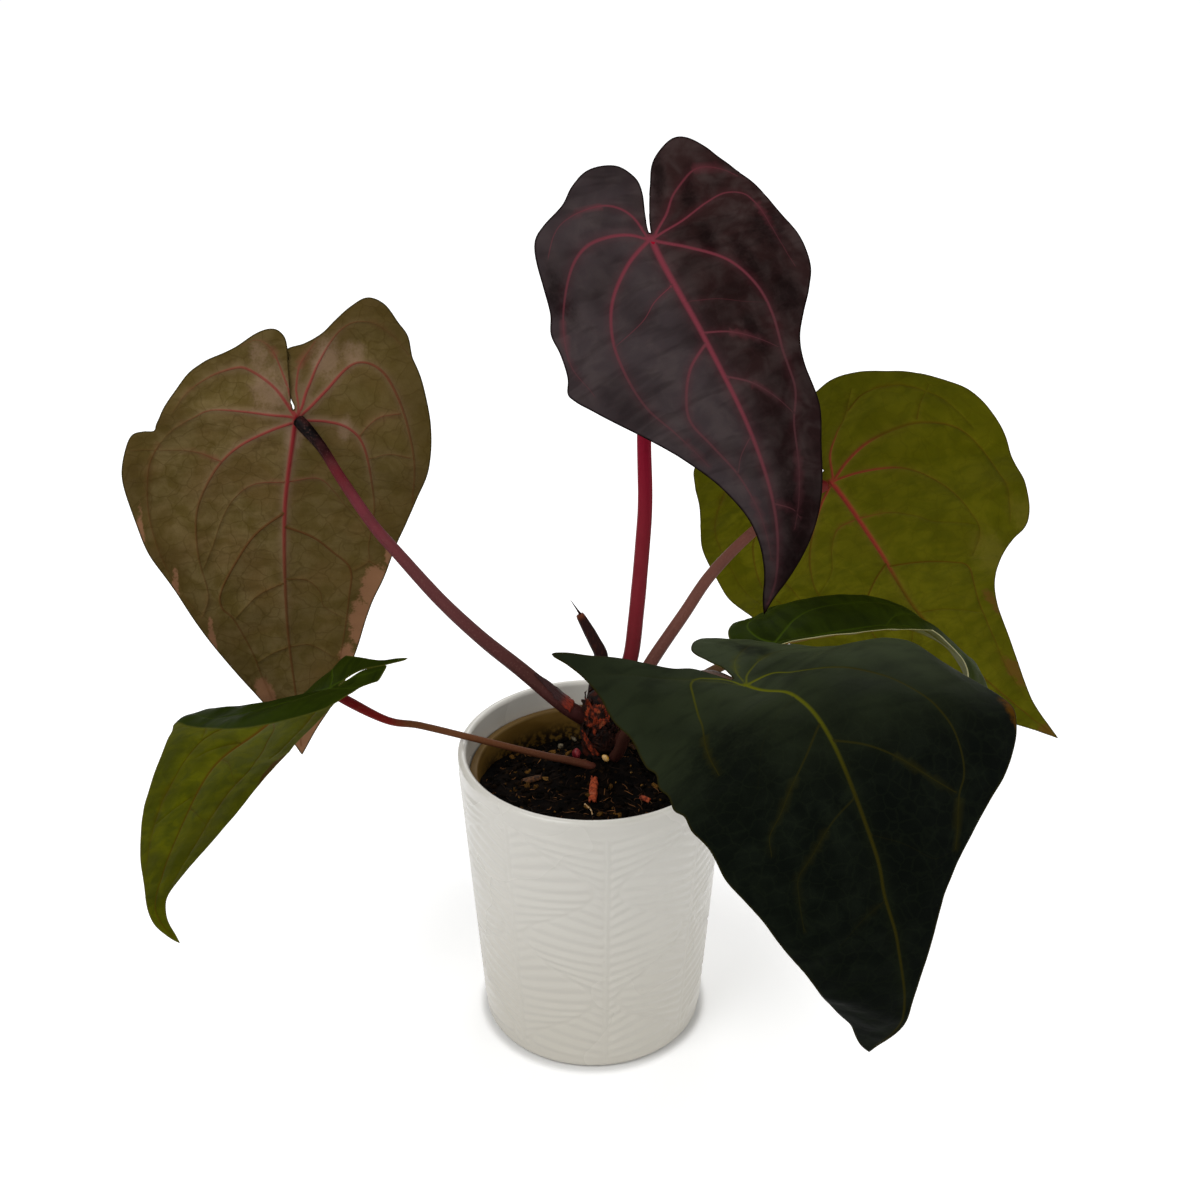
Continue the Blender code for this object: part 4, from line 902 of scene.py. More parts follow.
def nearest(points, line):
    """For each flat point, the distance to a line's points and the index of the nearest one."""
    tree = kdtree.KDTree(len(line))
    for i, (x, y) in enumerate(line):
        tree.insert((x, y, 0), i)
    tree.balance()
    found = [tree.find((x, y, 0)) for x, y in points]
    return np.array([hit[2] for hit in found]), np.array([hit[1] for hit in found])


def thinned(points, gaps):
    """The points left when each keeps its own gap to those kept before it."""
    kept = []
    grid = {}
    for i, (x, y) in enumerate(points):
        column, row = int(x // BUCKET), int(y // BUCKET)
        near = [place for a in (column - 1, column, column + 1) for b in (row - 1, row, row + 1)
                for place in grid.get((a, b), ())]
        if all((u - x) ** 2 + (v - y) ** 2 >= gaps[i] ** 2 for u, v in near):
            grid.setdefault((column, row), []).append((x, y))
            kept.append(i)
    return np.array(kept)


class Veins:
    """A blade's veins as sampled points with half widths, and what they do at any flat point."""

    FAR = 99.0

    def __init__(self, rows):
        self.lines = []
        for number, (start, end, points, *show) in enumerate(rows):
            line = spread(smooth_line(points, 10), LINE_STEP)
            travelled = lengths_along(line)
            share = travelled / travelled[-1]
            first, last = show[0] if show else (VEIN_SHOWS if number else MIDRIB_SHOWS)
            self.lines.append((line, start + (end - start) * share, first + (last - first) * share))

    def mesh_points(self):
        """Points along every vein and beside it, the strongest vein first."""
        rows = []
        for line, half, _ in self.lines:
            way = unit(np.gradient(line, axis=0))
            aside = np.stack([-way[:, 1], way[:, 0]], -1)
            for offset in VEIN_ROWS:
                for side in ((1, -1) if offset else (1,)):
                    moved = line + aside * (side * offset * np.maximum(half, VEIN_LEAST))[:, None]
                    rows.append(moved[::round(VEIN_STEP / LINE_STEP)])
        return np.vstack(rows)

    def read(self, points):
        """Per point: share of half width, gap to a strong vein, half width, way from the joint, show."""
        share, gap = (np.full(len(points), self.FAR) for _ in range(2))
        half_there, away, shows = (np.zeros(len(points)) for _ in range(3))
        for number, (line, half, show) in enumerate(self.lines):
            distance, index = nearest(points, line)
            here = distance / half[index]
            better = here < share
            share[better] = here[better]
            half_there[better] = half[index][better]
            shows[better] = show[index][better]
            from_joint = np.hypot(*line.T)[index] * (1.0 if number else MIDRIB_FADE)
            away[better] = from_joint[better]
            if half[0] > VEIN_DRAWS:
                gap = np.minimum(gap, np.maximum(0, distance - half[index]))
        return share, gap, half_there, away, shows


def flat_mesh(blade, veins):
    """Flat points and triangles of a blade, finer beside the veins and along the margin."""
    coarse = blade.outline(600)
    length = np.linalg.norm(np.roll(coarse, -1, 0) - coarse, axis=1).sum()
    outline = blade.outline(round(length / MARGIN_STEP))
    count = len(outline)
    way = unit(np.roll(outline, -1, 0) - np.roll(outline, 1, 0))
    inward = np.stack([way[:, 1], -way[:, 0]], -1)
    rows = [outline + inward * inset for inset in MARGIN_INSETS]
    columns = np.arange(outline[:, 0].min(), outline[:, 0].max(), CELL * CELL_ROW)
    lines = np.arange(outline[:, 1].min(), outline[:, 1].max(), CELL)
    fill = np.array([(x, y + (i % 2) * CELL / 2) for i, x in enumerate(columns) for y in lines])
    points = outline
    gaps = np.zeros(count)
    for group, gap in ((np.vstack(rows), MARGIN_GAP), (veins.mesh_points(), VEIN_GAP), (fill, CELL_GAP)):
        held = inside(group, outline) & (nearest(group, blade.outline(count * 3))[0] > MARGIN_CLEAR)
        points = np.vstack([points, group[held]])
        gaps = np.append(gaps, np.full(held.sum(), gap))
    points = points[thinned(points, gaps)]
    made = geometry.delaunay_2d_cdt([Vector(p) for p in points], [], [list(range(count))], 1, 1e-5)
    places, faces, origins = made[0], made[2], made[3]
    margin = {source: number for number, origin in enumerate(origins) for source in origin}
    return np.array([tuple(p) for p in places]), faces, [margin[i] for i in range(count)]


def add_piece(name, verts, faces, materials, slot, replaced=(), **attributes):
    """A smooth mesh piece (vertices in mm) that rides on the one body, with values per vertex."""
    mesh = bpy.data.meshes.new(name)
    mesh.from_pydata([tuple(v) for v in np.asarray(verts) * MM], [], faces)
    for material in materials:
        mesh.materials.append(material)
    mesh.shade_smooth()
    piece = linked(name, mesh)
    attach(piece, "root")
    if replaced:
        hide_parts(*replaced)
    for key, values in attributes.items():
        kind, field = ("FLOAT_VECTOR", "vector") if np.ndim(values) == 2 else ("FLOAT", "value")
        mesh.attributes.new(key, kind, "POINT").data.foreach_set(field, np.ravel(values))
    return piece


def closed_faces(faces, margin, count):
    """Faces of a blade: those of its upper and under side, and two rows round its margin."""
    both = [tuple(face[::-1]) for face in faces] + [tuple(count + i for i in face) for face in faces]
    for i, (a, b) in enumerate(zip(margin, margin[1:] + margin[:1])):
        here, after = 2 * count + i, 2 * count + (i + 1) % len(margin)
        both += [(b, a, here, after), (after, here, count + a, count + b)]
    return both


def stain_and_shade_strength(flat, stains_and_shades, kind):
    """How strongly the patches of one kind, stains or painted shade, are felt at flat points, before their
    edge is torn.
    """
    strength = np.zeros(len(flat))
    for name, along, across, long, wide in stains_and_shades:
        if name == kind:
            far = np.hypot((flat[:, 0] - along) / long, (flat[:, 1] - across) / wide)
            strength = np.maximum(strength, np.clip(STAIN_AND_SHADE_EDGE - far, 0, 1))
    return strength


class Leaf:
    """One blade's mesh: what is known at its flat points, its sides, and values for its looks."""

    def __init__(self, name):
        self.shape = {**USUAL_SHAPE, **LEAVES[name]}
        self.stains_and_shades = STAINS_AND_SHADES[name]
        self.blade = Blade(self.shape)
        veins = Veins(VEINS[name])
        self.flat, self.faces, self.margin = flat_mesh(self.blade, veins)
        self.share, self.gap, self.half, self.away, self.shows = veins.read(self.flat)
        border = self.blade.outline(BORDER_POINTS)
        self.edge, index = nearest(self.flat, border)
        self.round_margin = index * np.linalg.norm(border[1] - border[0])
        self.calm = np.clip(self.edge / CALM_MARGIN, 0, 1)

    def middle(self, normal):
        """The blade's middle sheet, with its high half laid over the low one at the sinus."""
        lap, sinus = self.shape["overlap"]
        reach, start, fade = LAP
        along, across = self.flat.T
        beyond = across - sinus
        lap = lap * np.exp(-(beyond / reach) ** 2) * (beyond > 0) * np.clip((-start - along) / fade, 0, 1)
        return self.blade.at(along, across - lap) + normal * (0.5 * lap)[:, None]

    def swell(self):
        """How far the blade swells between its veins, with soft folds, and wrinkles at its margin."""
        quilt = self.shape["quilt"] * (1 - np.exp(-(self.gap / QUILT_WIDTH) ** 2)) * self.calm
        folds = sum(height * waves(*self.flat.T, *wave) for height, *wave in FOLDS)
        wrinkles = self.shape["wrinkles"] * waves(self.round_margin, self.edge, *WRINKLES)
        return (quilt + folds * np.clip(self.gap / FOLD_WIDTH, 0, 1) * self.calm
                + wrinkles * np.exp(-(self.edge / WRINKLE_REACH) ** 2) * np.clip(self.edge / 4, 0.25, 1))

    def verts(self):
        """The upper side, the under side and the rim's middle row."""
        normal = self.blade.normals(self.flat)
        middle = self.middle(normal)
        swell = self.swell()
        half = self.half
        profile = 0.5 * (1 + np.cos(np.pi * np.clip(self.share, 0, RELIEF_HALVES) / RELIEF_HALVES))
        groove = GROOVE * half * profile
        ridge = (RIDGE[0] + RIDGE[1] * half) * half / (half + RIDGE_BLUNT) * profile * self.calm
        collar = COLLAR[0] * np.exp(-(np.hypot(*self.flat.T) / COLLAR[1]) ** 2)
        thin = LEAF_SHEET * (RIM_THIN[0] + RIM_THIN[1] * np.clip(self.edge / RIM_THIN[2], 0, 1))
        upper = middle + normal * (thin / 2 + swell - groove)[:, None]
        under = middle + normal * (-thin / 2 + swell - ridge - collar)[:, None]
        rim, inner = middle[self.margin], self.flat[self.margin] * 0.98 + (0.2, 0)
        way = unit(np.roll(rim, -1, 0) - np.roll(rim, 1, 0))
        outward = unit(np.cross(way, normal[self.margin]))
        outward *= np.sign((outward * (rim - self.blade.at(*inner.T))).sum(-1))[:, None]
        rim = (upper[self.margin] + under[self.margin]) / 2 + outward * LEAF_SHEET * RIM_ROUND
        return np.vstack([upper, under, rim])

    def values(self):
        """What the looks read, per vertex: shares from 0 to 1, and flat places and gaps in mm."""
        core = np.clip(VEIN_EDGE - self.share, 0, 1)
        halo = np.exp(-np.maximum(0, self.share - 1) * self.half / HALO_FADE)
        turn = np.clip(self.flat[:, 1] / self.shape["side_turn"], -1, 1)
        values = {
            "flat": np.column_stack([self.flat, np.zeros(len(self.flat))]),
            "vein": core * core * (3 - 2 * core) * self.shows,
            "halo": halo * self.shows * np.clip(self.half / HALO_FULL, 0, 1),
            "reach": np.clip(self.flat[:, 0] / REACH_FULL, 0, 1),
            "side": 0.5 + 0.75 * turn - 0.25 * turn**3,
            "away": np.clip(self.away / AWAY_FULL, 0, 1),
            "rim": self.edge,
        }
        for kind in ("pale", "dry", "shade"):
            values[kind] = stain_and_shade_strength(self.flat, self.stains_and_shades, kind)
        return {key: np.concatenate([value, value, value[self.margin]]) for key, value in values.items()}


def add_leaf(name):
    leaf = Leaf(name)
    upper, under, slot = LEAF_LOOKS[name]
    materials = [leaf_upper(f"{name}_upper", upper), leaf_under(f"{name}_under", under)]
    faces = closed_faces(leaf.faces, leaf.margin, len(leaf.flat))
    piece = add_piece(f"blade_{name}", leaf.verts(), faces, materials, slot, [f"leaf_{name}"],
                      **leaf.values())
    sides = [0] * len(leaf.faces) + [1] * len(leaf.faces) + [0, 1] * len(leaf.margin)
    piece.data.polygons.foreach_set("material_index", sides)


# ---------------------------------------------------------------- stalks

def ring_faces(rows, steps):
    """Faces over rings of vertices, and fans at both ends on the two vertices that follow them."""
    last, ends = (rows - 1) * steps, rows * steps
    faces = []
    for start in range(0, last, steps):
        for i in range(steps):
            j = (i + 1) % steps
            faces.append((start + i, start + j, start + steps + j, start + steps + i))
    for i in range(steps):
        j = (i + 1) % steps
        faces += [(j, i, ends), (last + i, last + j, ends + 1)]
    return faces


def tube_mesh(centres, radii, sides):
    """Vertices and faces of a tube with closed ends; radii may differ round the tube."""
    heading = unit(np.gradient(centres, axis=0))
    side = unit(np.cross(heading[0], (0.3, 0.2, 0.93)))
    turns = turns_of(sides)[:, None]
    rows = []
    for centre, way, radius in zip(centres, heading, radii):
        side = unit(side - way * np.dot(side, way))
        up = np.cross(way, side)
        ring = np.cos(turns) * side + np.sin(turns) * up
        rows.append(centre + ring * np.broadcast_to(radius, (sides,))[:, None])
    return np.vstack(rows + [centres[:1], centres[-1:]]), ring_faces(len(rows), sides)


def round_tube(line, radii, sides, shares=None):
    """A round tube along a line; its radii are spread evenly or stand at the given shares."""
    if shares is None:
        shares = np.linspace(0, 1, len(radii))
    radius = np.interp(np.linspace(0, 1, len(line)), shares, radii)
    return tube_mesh(line, radius[:, None], sides)


def joined(parts):
    """One mesh from (vertices, faces) parts, with each part's number per vertex."""
    verts, faces, owners = [], [], []
    for number, (part_verts, part_faces) in enumerate(parts):
        faces += [tuple(len(verts) + i for i in face) for face in part_faces]
        verts += [tuple(v) for v in part_verts]
        owners += [number] * len(part_verts)
    return verts, faces, np.array(owners)


STALK_SIDES = 28
# (swelling: mm high, mm below the blade, mm long), colour of blotches, colour of flecks, and
# (share of the way up, colour)
STALK_LOOKS = {
    "left_back": ((0.9, 4, 11), (82, 44, 44), (112, 78, 70),
                  ((0.0, (52, 24, 22)), (0.15, (70, 40, 36)), (0.5, (92, 50, 50)), (0.75, (106, 44, 52)),
                   (0.85, (94, 30, 36)), (0.91, (34, 8, 10)), (0.95, (8, 2, 3)), (1.0, (6, 1, 2)))),
    "top": ((0.7, 4, 10), (104, 14, 28), (140, 30, 48),
            ((0.0, (86, 28, 30)), (0.3, (118, 34, 42)), (0.6, (134, 18, 42)), (1.0, (144, 4, 34)))),
    "right_back": ((0.8, 4, 9), (94, 58, 50), (132, 92, 80),
                   ((0.0, (86, 52, 46)), (0.5, (110, 70, 60)), (0.85, (118, 66, 56)),
                    (1.0, (116, 24, 28)))),
    "front": ((0.5, 4, 9), (70, 42, 32), (110, 82, 66),
              ((0.0, (58, 30, 26)), (0.5, (80, 52, 40)), (1.0, (84, 54, 38)))),
    "low_left": ((0.45, 13, 14), (84, 50, 30), (112, 78, 54),
                 ((0.0, (92, 44, 40)), (0.15, (80, 46, 32)), (0.55, (100, 62, 38)), (0.70, (96, 58, 32)),
                  (0.80, (116, 20, 18)), (1.0, (96, 8, 14)))),
    "right": ((0.5, 4, 9), (62, 38, 28), (100, 74, 54), ((0.0, (56, 28, 24)), (1.0, (84, 62, 38)))),
}


def stalk_finish(name, blotches, flecks, stops):
    """A stalk's skin: coloured along its length, with blotches and fine flecks."""
    finish = Finish(f"stalk_{name}", 0.05, stops[0][1])
    along = finish.attribute("along")
    for (before, _), (after, colour) in zip(stops, stops[1:]):
        finish.lay(finish.step(along, before, after), colour)
    solid = finish.place()
    fleck = finish.noise(solid, 900.0, 3.0)
    blotch = finish.noise(solid, 90.0, 3.0)
    finish.lay(finish.step(blotch, 0.45, 0.7), blotches, 0.35)
    finish.lay(finish.step(fleck, 0.55, 0.7), flecks, 0.25)
    return finish.done(blotch, 0.34, 0.52, (fleck, 0.3, 0.2))


def add_stalk(name, seed):
    """A petiole: a finely ribbed tube that swells just below its blade."""
    route, radii = PETIOLES[name]
    (swell, below, long), *colours = STALK_LOOKS[name]
    line = spread(smooth_line(route, 16), 1.4)
    travelled = lengths_along(line)
    share = travelled / travelled[-1]
    radius = np.interp(share, np.linspace(0, 1, len(radii)), radii)
    radius = radius + swell * np.exp(-((travelled[-1] - travelled - below) / long) ** 2)
    turns = turns_of(STALK_SIDES)
    ribs = 1 + 0.018 * np.sin(turns * 7 + 1) + 0.010 * np.sin(turns * 12)
    lumps = 1 + 0.02 * np.array([bumpy(t / 14, seed, 0) for t in travelled])
    rows = radius[:, None] * ribs * lumps[:, None]
    line = np.vstack([line, line[-1] + unit(line[-1] - line[-2]) * 0.9])
    verts, faces = tube_mesh(line, np.vstack([rows, rows[-1] * 0.72]), STALK_SIDES)
    along = np.concatenate([np.repeat(np.append(share, 1.0), STALK_SIDES), [0, 1]])
    add_piece(f"stalk_{name}", verts, faces, [stalk_finish(name, *colours)], "petiole",
              [f"petiole_{name}"], along=along)


SPIKE_SIDES = 24
SPIKE_SHARES, SPIKE_RADII = (0, 0.25, 0.5, 0.8, 0.97, 1.0), (3.2, 3.4, 3.6, 3.0, 2.3, 1.9)
HAIR_SHARES, HAIR_RADII = (0, 0.4, 1), (0.9, 0.45, 0.12)
HAIR_COLOUR_AT = 0.2  # the hair takes the quill's colour at this share of the way up


def spike_finish():
    """Dark and streaked, brown at the dry top."""
    finish = Finish("spike", 0.06, (28, 12, 12))
    along = finish.attribute("along")
    streak = finish.noise(finish.place((1, 1, 0.12)), 1400.0, 3.0)
    finish.lay(finish.step(along, 0.35, 0.75), (36, 18, 17))
    finish.lay(finish.step(along, 0.94, 1.0), (92, 46, 26))
    finish.lay(finish.step(streak, 0.50, 0.68), (70, 36, 24), 0.4)
    return finish.done(streak, 0.45, 0.7, (streak, 0.5, 0.3))


def add_spike():
    """The rolled sheath of the next leaf: a dark quill with a dry top and a hair-like point."""
    line = spread(smooth_line(NEW_LEAF, 16), 1.2)
    travelled = lengths_along(line)
    share = travelled / travelled[-1]
    turns = turns_of(SPIKE_SIDES)
    overlap = 1 + 0.10 * np.clip(np.cos(turns - 1.2) - 0.75, 0, 1) * 4
    rows = (np.interp(share, SPIKE_SHARES, SPIKE_RADII)[:, None] * overlap
            * (1 + 0.03 * np.sin(turns * 5)))
    hair = round_tube(spread(smooth_line(NEW_LEAF_HAIR, 8), 0.6), HAIR_RADII, 8, HAIR_SHARES)
    verts, faces, _ = joined([tube_mesh(line, rows, SPIKE_SIDES), hair])
    along = np.concatenate([np.repeat(share, SPIKE_SIDES), [0, 1], np.full(len(hair[0]), HAIR_COLOUR_AT)])
    add_piece("spike", verts, faces, [spike_finish()], "petiole", ["new_leaf_spike"], along=along)


# ---------------------------------------------------------------- pots

POT_STEPS = 440
WALL_ROWS = 152
ORNAMENT_COLUMNS = 8
ORNAMENT_START = 0.36  # of a column's width, how far the first column is turned
ORNAMENT_REPEAT = 73.0  # mm of height in which a feather is wide once and narrow once
ORNAMENT_PHASE = 0.535  # radians that the feathers' wave is moved down the wall
ORNAMENT_PITCH = 6.2  # mm between the barbs
ORNAMENT_HEIGHT = 0.65  # mm
RIM_BAND = 8.0  # mm of plain wall below the lip
LIP_OVERHANG = 0.4  # mm that the lip stands out over the wall
WALL_INSET = 0.12  # mm that the plain wall stands back behind its outline
NURSERY_STEPS = 144
DRILL_DEPTH = 8.0


def ring_mesh(profile, steps):
    """A turned mesh (mm) from (radius, height) rows, a radius being one number or one per step."""
    turns = turns_of(steps)
    rows = [np.column_stack([radius * np.cos(turns), radius * np.sin(turns), np.full(steps, height)])
            for radius, height in profile]
    ends = [[(0, 0, profile[row][1])] for row in (0, -1)]
    return np.vstack(rows + ends), ring_faces(len(rows), steps)


def arc(radius, height, size, angles):
    """Profile points on a round corner, at angles in degrees."""
    return [(radius + size * math.cos(turn), height + size * math.sin(turn))
            for turn in np.radians(angles)]


def wall_ornament(turns, height):
    """Raised pattern of the wall, 0 to 1: feathers side by side, wide and narrow by turns."""
    width = math.pi * (POT_RIM_RADIUS + POT_BASE_RADIUS) / ORNAMENT_COLUMNS
    place = turns / (2 * math.pi) * ORNAMENT_COLUMNS + ORNAMENT_START
    column = np.floor(place)
    reach = np.abs(place - column - 0.5) * width
    wave = 2 * math.pi / ORNAMENT_REPEAT
    turn = np.where(column % 2 == 0, 0.0, math.pi) + ORNAMENT_PHASE
    half = width * (0.5 + 0.38 * np.sin(wave * height + turn))
    outer = reach > half
    reach = np.where(outer, width - reach, reach)
    turn = np.where(outer, turn + math.pi, turn)
    half = np.where(outer, width - half, half)
    root = height - 0.4 * reach
    for _ in range(30):
        slope = 0.46 - 0.24 * np.cos(wave * root + turn - 0.8)
        root = 0.5 * root + 0.5 * (height - slope * reach * (1 - 0.008 * reach))
    barbs = (0.5 + 0.5 * np.cos(2 * math.pi * root / ORNAMENT_PITCH)) ** 0.8
    ends = np.clip((half - reach - 0.6) / 2.6, 0, 1)
    barbs *= np.clip((reach - 0.8) / 1.6, 0, 1) * ends * (2 - ends)
    spine = 0.8 * np.exp(-(reach / 0.9) ** 2)
    return np.maximum(barbs, spine)


def add_cachepot():
    """The glazed outer pot, turned from one profile: foot, wall, lip and inside."""
    turns = turns_of(POT_STEPS)
    lip = POT_WALL / 2
    foot = POT_BASE_RADIUS - POT_EDGE
    top = POT_HEIGHT - RIM_BAND
    profile = [(4, 1.0), (foot - 7, 1.0), (foot - 5.5, 0.8), (foot - 4.5, 0.15), (foot - 3.5, 0.0),
               (foot, 0.0), *arc(foot, POT_EDGE, POT_EDGE, (-72, -54, -36, -18, 0))]
    for height in np.linspace(POT_EDGE, top, WALL_ROWS)[1:]:
        share = (height - POT_EDGE) / (top - POT_EDGE)
        plain = POT_BASE_RADIUS + (POT_RIM_RADIUS - LIP_OVERHANG - POT_BASE_RADIUS) * share
        fade = np.clip((height - POT_EDGE - 1) / 5, 0, 1) * np.clip((top - height - 0.5) / 3, 0, 1)
        profile.append((plain - WALL_INSET + ORNAMENT_HEIGHT * fade * wall_ornament(turns, height), height))
    profile += [(POT_RIM_RADIUS - 0.25, POT_HEIGHT - 6.5), (POT_RIM_RADIUS - 0.1, POT_HEIGHT - 4.5),
                *arc(POT_RIM_RADIUS - lip, POT_HEIGHT - lip, lip, np.linspace(-20, 180, 12))]
    inner, corner = POT_BASE_RADIUS - POT_WALL, POT_FLOOR + POT_EDGE
    for share in (0.95, 0.8, 0.55, 0.3, 0.0):
        profile.append((inner + (POT_RIM_RADIUS - POT_WALL - LIP_OVERHANG - inner) * share,
                        corner + (POT_HEIGHT - 9 - corner) * share))
    profile += [*arc(inner - POT_EDGE, corner, POT_EDGE, (-30, -60, -90)), (20, POT_FLOOR)]
    verts, faces = ring_mesh(profile, POT_STEPS)
    add_piece("pot_glazed", verts, faces, [glaze_finish()], "glaze", ["cachepot"])


def glaze_finish():
    """Warm white glaze with faint specks, and painted shade that darkens and warms it towards the foot."""
    finish = Finish("glaze", 0.5, (213, 210, 202), Coat_Weight=0.2, Coat_Roughness=0.35)
    solid = finish.place()
    cloud = finish.noise(solid, 14.0, 2.0)
    # Painted shade: darker and warmer towards the foot.
    finish.lay(finish.level(150, 5), (200, 195, 183))
    finish.lay(finish.step(cloud, 0.3, 0.75), (206, 202, 192), 0.25)
    finish.lay(finish.step(finish.cells(solid, 850.0), 0.92, 0.98), (170, 160, 140), 0.08)
    return finish.done(cloud, 0.22, 0.32, (finish.noise(solid, 140.0, 2.0), 0.10, 0.3))


def nursery_inner_radius(height):
    """Inside radius of the nursery pot's tapered wall."""
    share = (height - NURSERY_FOOT) / (NURSERY_TOP - NURSERY_FOOT)
    return NURSERY_BASE_RADIUS + (NURSERY_TOP_RADIUS - NURSERY_BASE_RADIUS) * share - NURSERY_WALL


def nursery_finish():
    """Brown plastic, scuffed, with dark crumbs stuck to it above the mix."""
    finish = Finish("nursery_plastic", 0.12, (92, 68, 26))
    scuff = finish.noise(finish.place((1, 1, 3)), 60.0, 2.0)
    dust = finish.noise(finish.place(), 420.0, 3.0)
    finish.lay(finish.step(scuff, 0.35, 0.72), (108, 82, 36))
    finish.lay(finish.level(NURSERY_TOP - 1.2, NURSERY_TOP - 0.4), (112, 88, 50))
    finish.lay(finish.maths("MULTIPLY", finish.level(148, 138), finish.step(dust, 0.35, 0.6)), (26, 18, 10))
    return finish.done(scuff, 0.40, 0.55, (scuff, 0.10, 0.3), (dust, 0.12, 0.2))


def drill_holes(piece):
    """Cut the drainage holes through the floor of a pot."""
    drill = bmesh.new()
    for turn in turns_of(DRAIN_HOLES):
        made = bmesh.ops.create_cone(drill, cap_ends=True, segments=20, radius1=DRAIN_RADIUS * MM,
                                     radius2=DRAIN_RADIUS * MM, depth=DRILL_DEPTH * MM)
        place = Vector((DRAIN_CIRCLE * math.cos(turn), DRAIN_CIRCLE * math.sin(turn), NURSERY_FOOT))
        bmesh.ops.translate(drill, verts=made["verts"], vec=place * MM)
    mesh = bpy.data.meshes.new("drill")
    drill.to_mesh(mesh)
    drill.free()
    cutter = linked("drill", mesh)
    cut = piece.modifiers.new("drain holes", "BOOLEAN")
    cut.operation = "DIFFERENCE"
    cut.object = cutter
    with bpy.context.temp_override(object=piece, active_object=piece):
        bpy.ops.object.modifier_apply(modifier=cut.name)
    bpy.data.objects.remove(cutter)
    piece.data.shade_smooth()
    piece.data.set_sharp_from_angle(angle=math.radians(35))


def add_nursery_pot():
    """The thin plastic pot that hangs in the glazed one, with its collar and drainage holes."""
    top, rim, floor = NURSERY_TOP, NURSERY_RIM_RADIUS, NURSERY_FOOT + NURSERY_WALL
    collar = top - NURSERY_COLLAR
    inner = nursery_inner_radius
    profile = [(3, NURSERY_FOOT), (NURSERY_BASE_RADIUS - 1, NURSERY_FOOT),
               (NURSERY_BASE_RADIUS, NURSERY_FOOT + 1), (inner(collar) + NURSERY_WALL, collar),
               (rim - 0.6, collar + 0.8), (rim, top - 3.0), (rim + 0.9, top - 1.6), (rim + 1.1, top - 0.9),
               (rim + 0.8, top - 0.3), (rim, top), (inner(top) + 0.5, top), (inner(top), top - 0.6)]
    heights = [floor + (top - floor) * share for share in (0.94, 0.85, 0.7, 0.4, 0.1)]
    profile += [(inner(height), height) for height in heights] + [(inner(floor) - 1, floor), (3, floor)]
    verts, faces = ring_mesh(profile, NURSERY_STEPS)
    drill_holes(add_piece("pot_inner", verts, faces, [nursery_finish()], "nursery_plastic",
                          ["nursery_pot"]))


# ---------------------------------------------------------------- potting mix

SOIL_STEPS = 240
SOIL_RINGS = 62
SOIL_REACH = 58  # where the top is read to fit its rim to the pot
SOIL_GAPS = (0.35, 0.4)  # from the wall of the nursery pot, at the top and at the side
# (height, length, shift) of the lumps in its top
SOIL_GRAIN = ((0.75, 7.0, (0, 0, 0)), (0.50, 2.6, (5, 0, 0)), (0.28, 1.2, (0, 9, 0)))
SOIL_SIDE = (118.0, 0.6)  # a height, and the share of the way up to it of the side's middle row
CRUMBS = 950
CRUMB_SIZES = (0.5, 0.6, 0.7, 0.9, 1.2, 1.7)
LOOSE_PATCH = (-32, -4)  # where most of the pale crumbs lie
FIBRES = 260


def soil_height(x, y):
    """Top of the potting mix: a slope, a mound at the stem and low lumps."""
    away = (x - STEM[0]) ** 2 + (y - STEM[1]) ** 2
    mound = MOUND_HEIGHT * math.exp(-away / (2 * MOUND_SPREAD**2))
    lumps = 0.7 * math.sin(0.21 * x + 1) * math.sin(0.19 * y + 2)
    return SOIL_LEVEL - SOIL_FALL_BACK * y - SOIL_FALL_RIGHT * x + mound + lumps


def soil_top(x, y):
    """The fine top of the mix."""
    height = soil_height(x, y)
    for high, long, shift in SOIL_GRAIN:
        height += high * noise.noise(Vector((x, y, 0)) / long + Vector(shift))
    return height - 0.1


def add_soil():
    """The mix as one closed body: its lumpy top, its side and its flat floor."""
    turns = [(math.cos(turn), math.sin(turn)) for turn in turns_of(SOIL_STEPS)]
    tops = [soil_height(SOIL_REACH * x, SOIL_REACH * y) for x, y in turns]
    rims = [nursery_inner_radius(top) - SOIL_GAPS[0] for top in tops]
    verts = []
    for ring in np.sqrt(np.linspace(0.0004, 1, SOIL_RINGS)):
        places = [(ring * rim * x, ring * rim * y) for (x, y), rim in zip(turns, rims)]
        verts += [(x, y, soil_top(x, y)) for x, y in places]
    floor = NURSERY_FOOT + NURSERY_WALL + 0.3
    for share in (SOIL_SIDE[1], 0.0):
        height = floor + (SOIL_SIDE[0] - floor) * share
        radius = nursery_inner_radius(height) - SOIL_GAPS[1]
        verts += [(radius * x, radius * y, height) for x, y in turns]
    verts += [(0, 0, soil_top(0, 0)), (0, 0, floor)]
    faces = [(face[0], *face[:0:-1]) for face in ring_faces(SOIL_RINGS + 2, SOIL_STEPS)]
    add_piece("soil", verts, faces, [soil_finish()], "potting_mix", ["potting_mix"])


def soil_finish():
    """Near-black damp peat with brown fibrous specks."""
    finish = Finish("soil", 0.03, (5, 3, 2))
    solid = finish.place()
    bits = finish.cells(finish.wobble(solid, 500.0, 0.0008), 620.0)
    cloud = finish.noise(solid, 120.0, 4.0)
    finish.lay(finish.step(cloud, 0.40, 0.70), (17, 11, 7))
    finish.lay(finish.step(bits, 0.84, 0.97), (66, 44, 20), 0.35)
    return finish.done(cloud, 0.75, 0.95, (bits, 0.5, 0.5), (finish.noise(solid, 1500.0, 3.0), 0.6, 0.3))


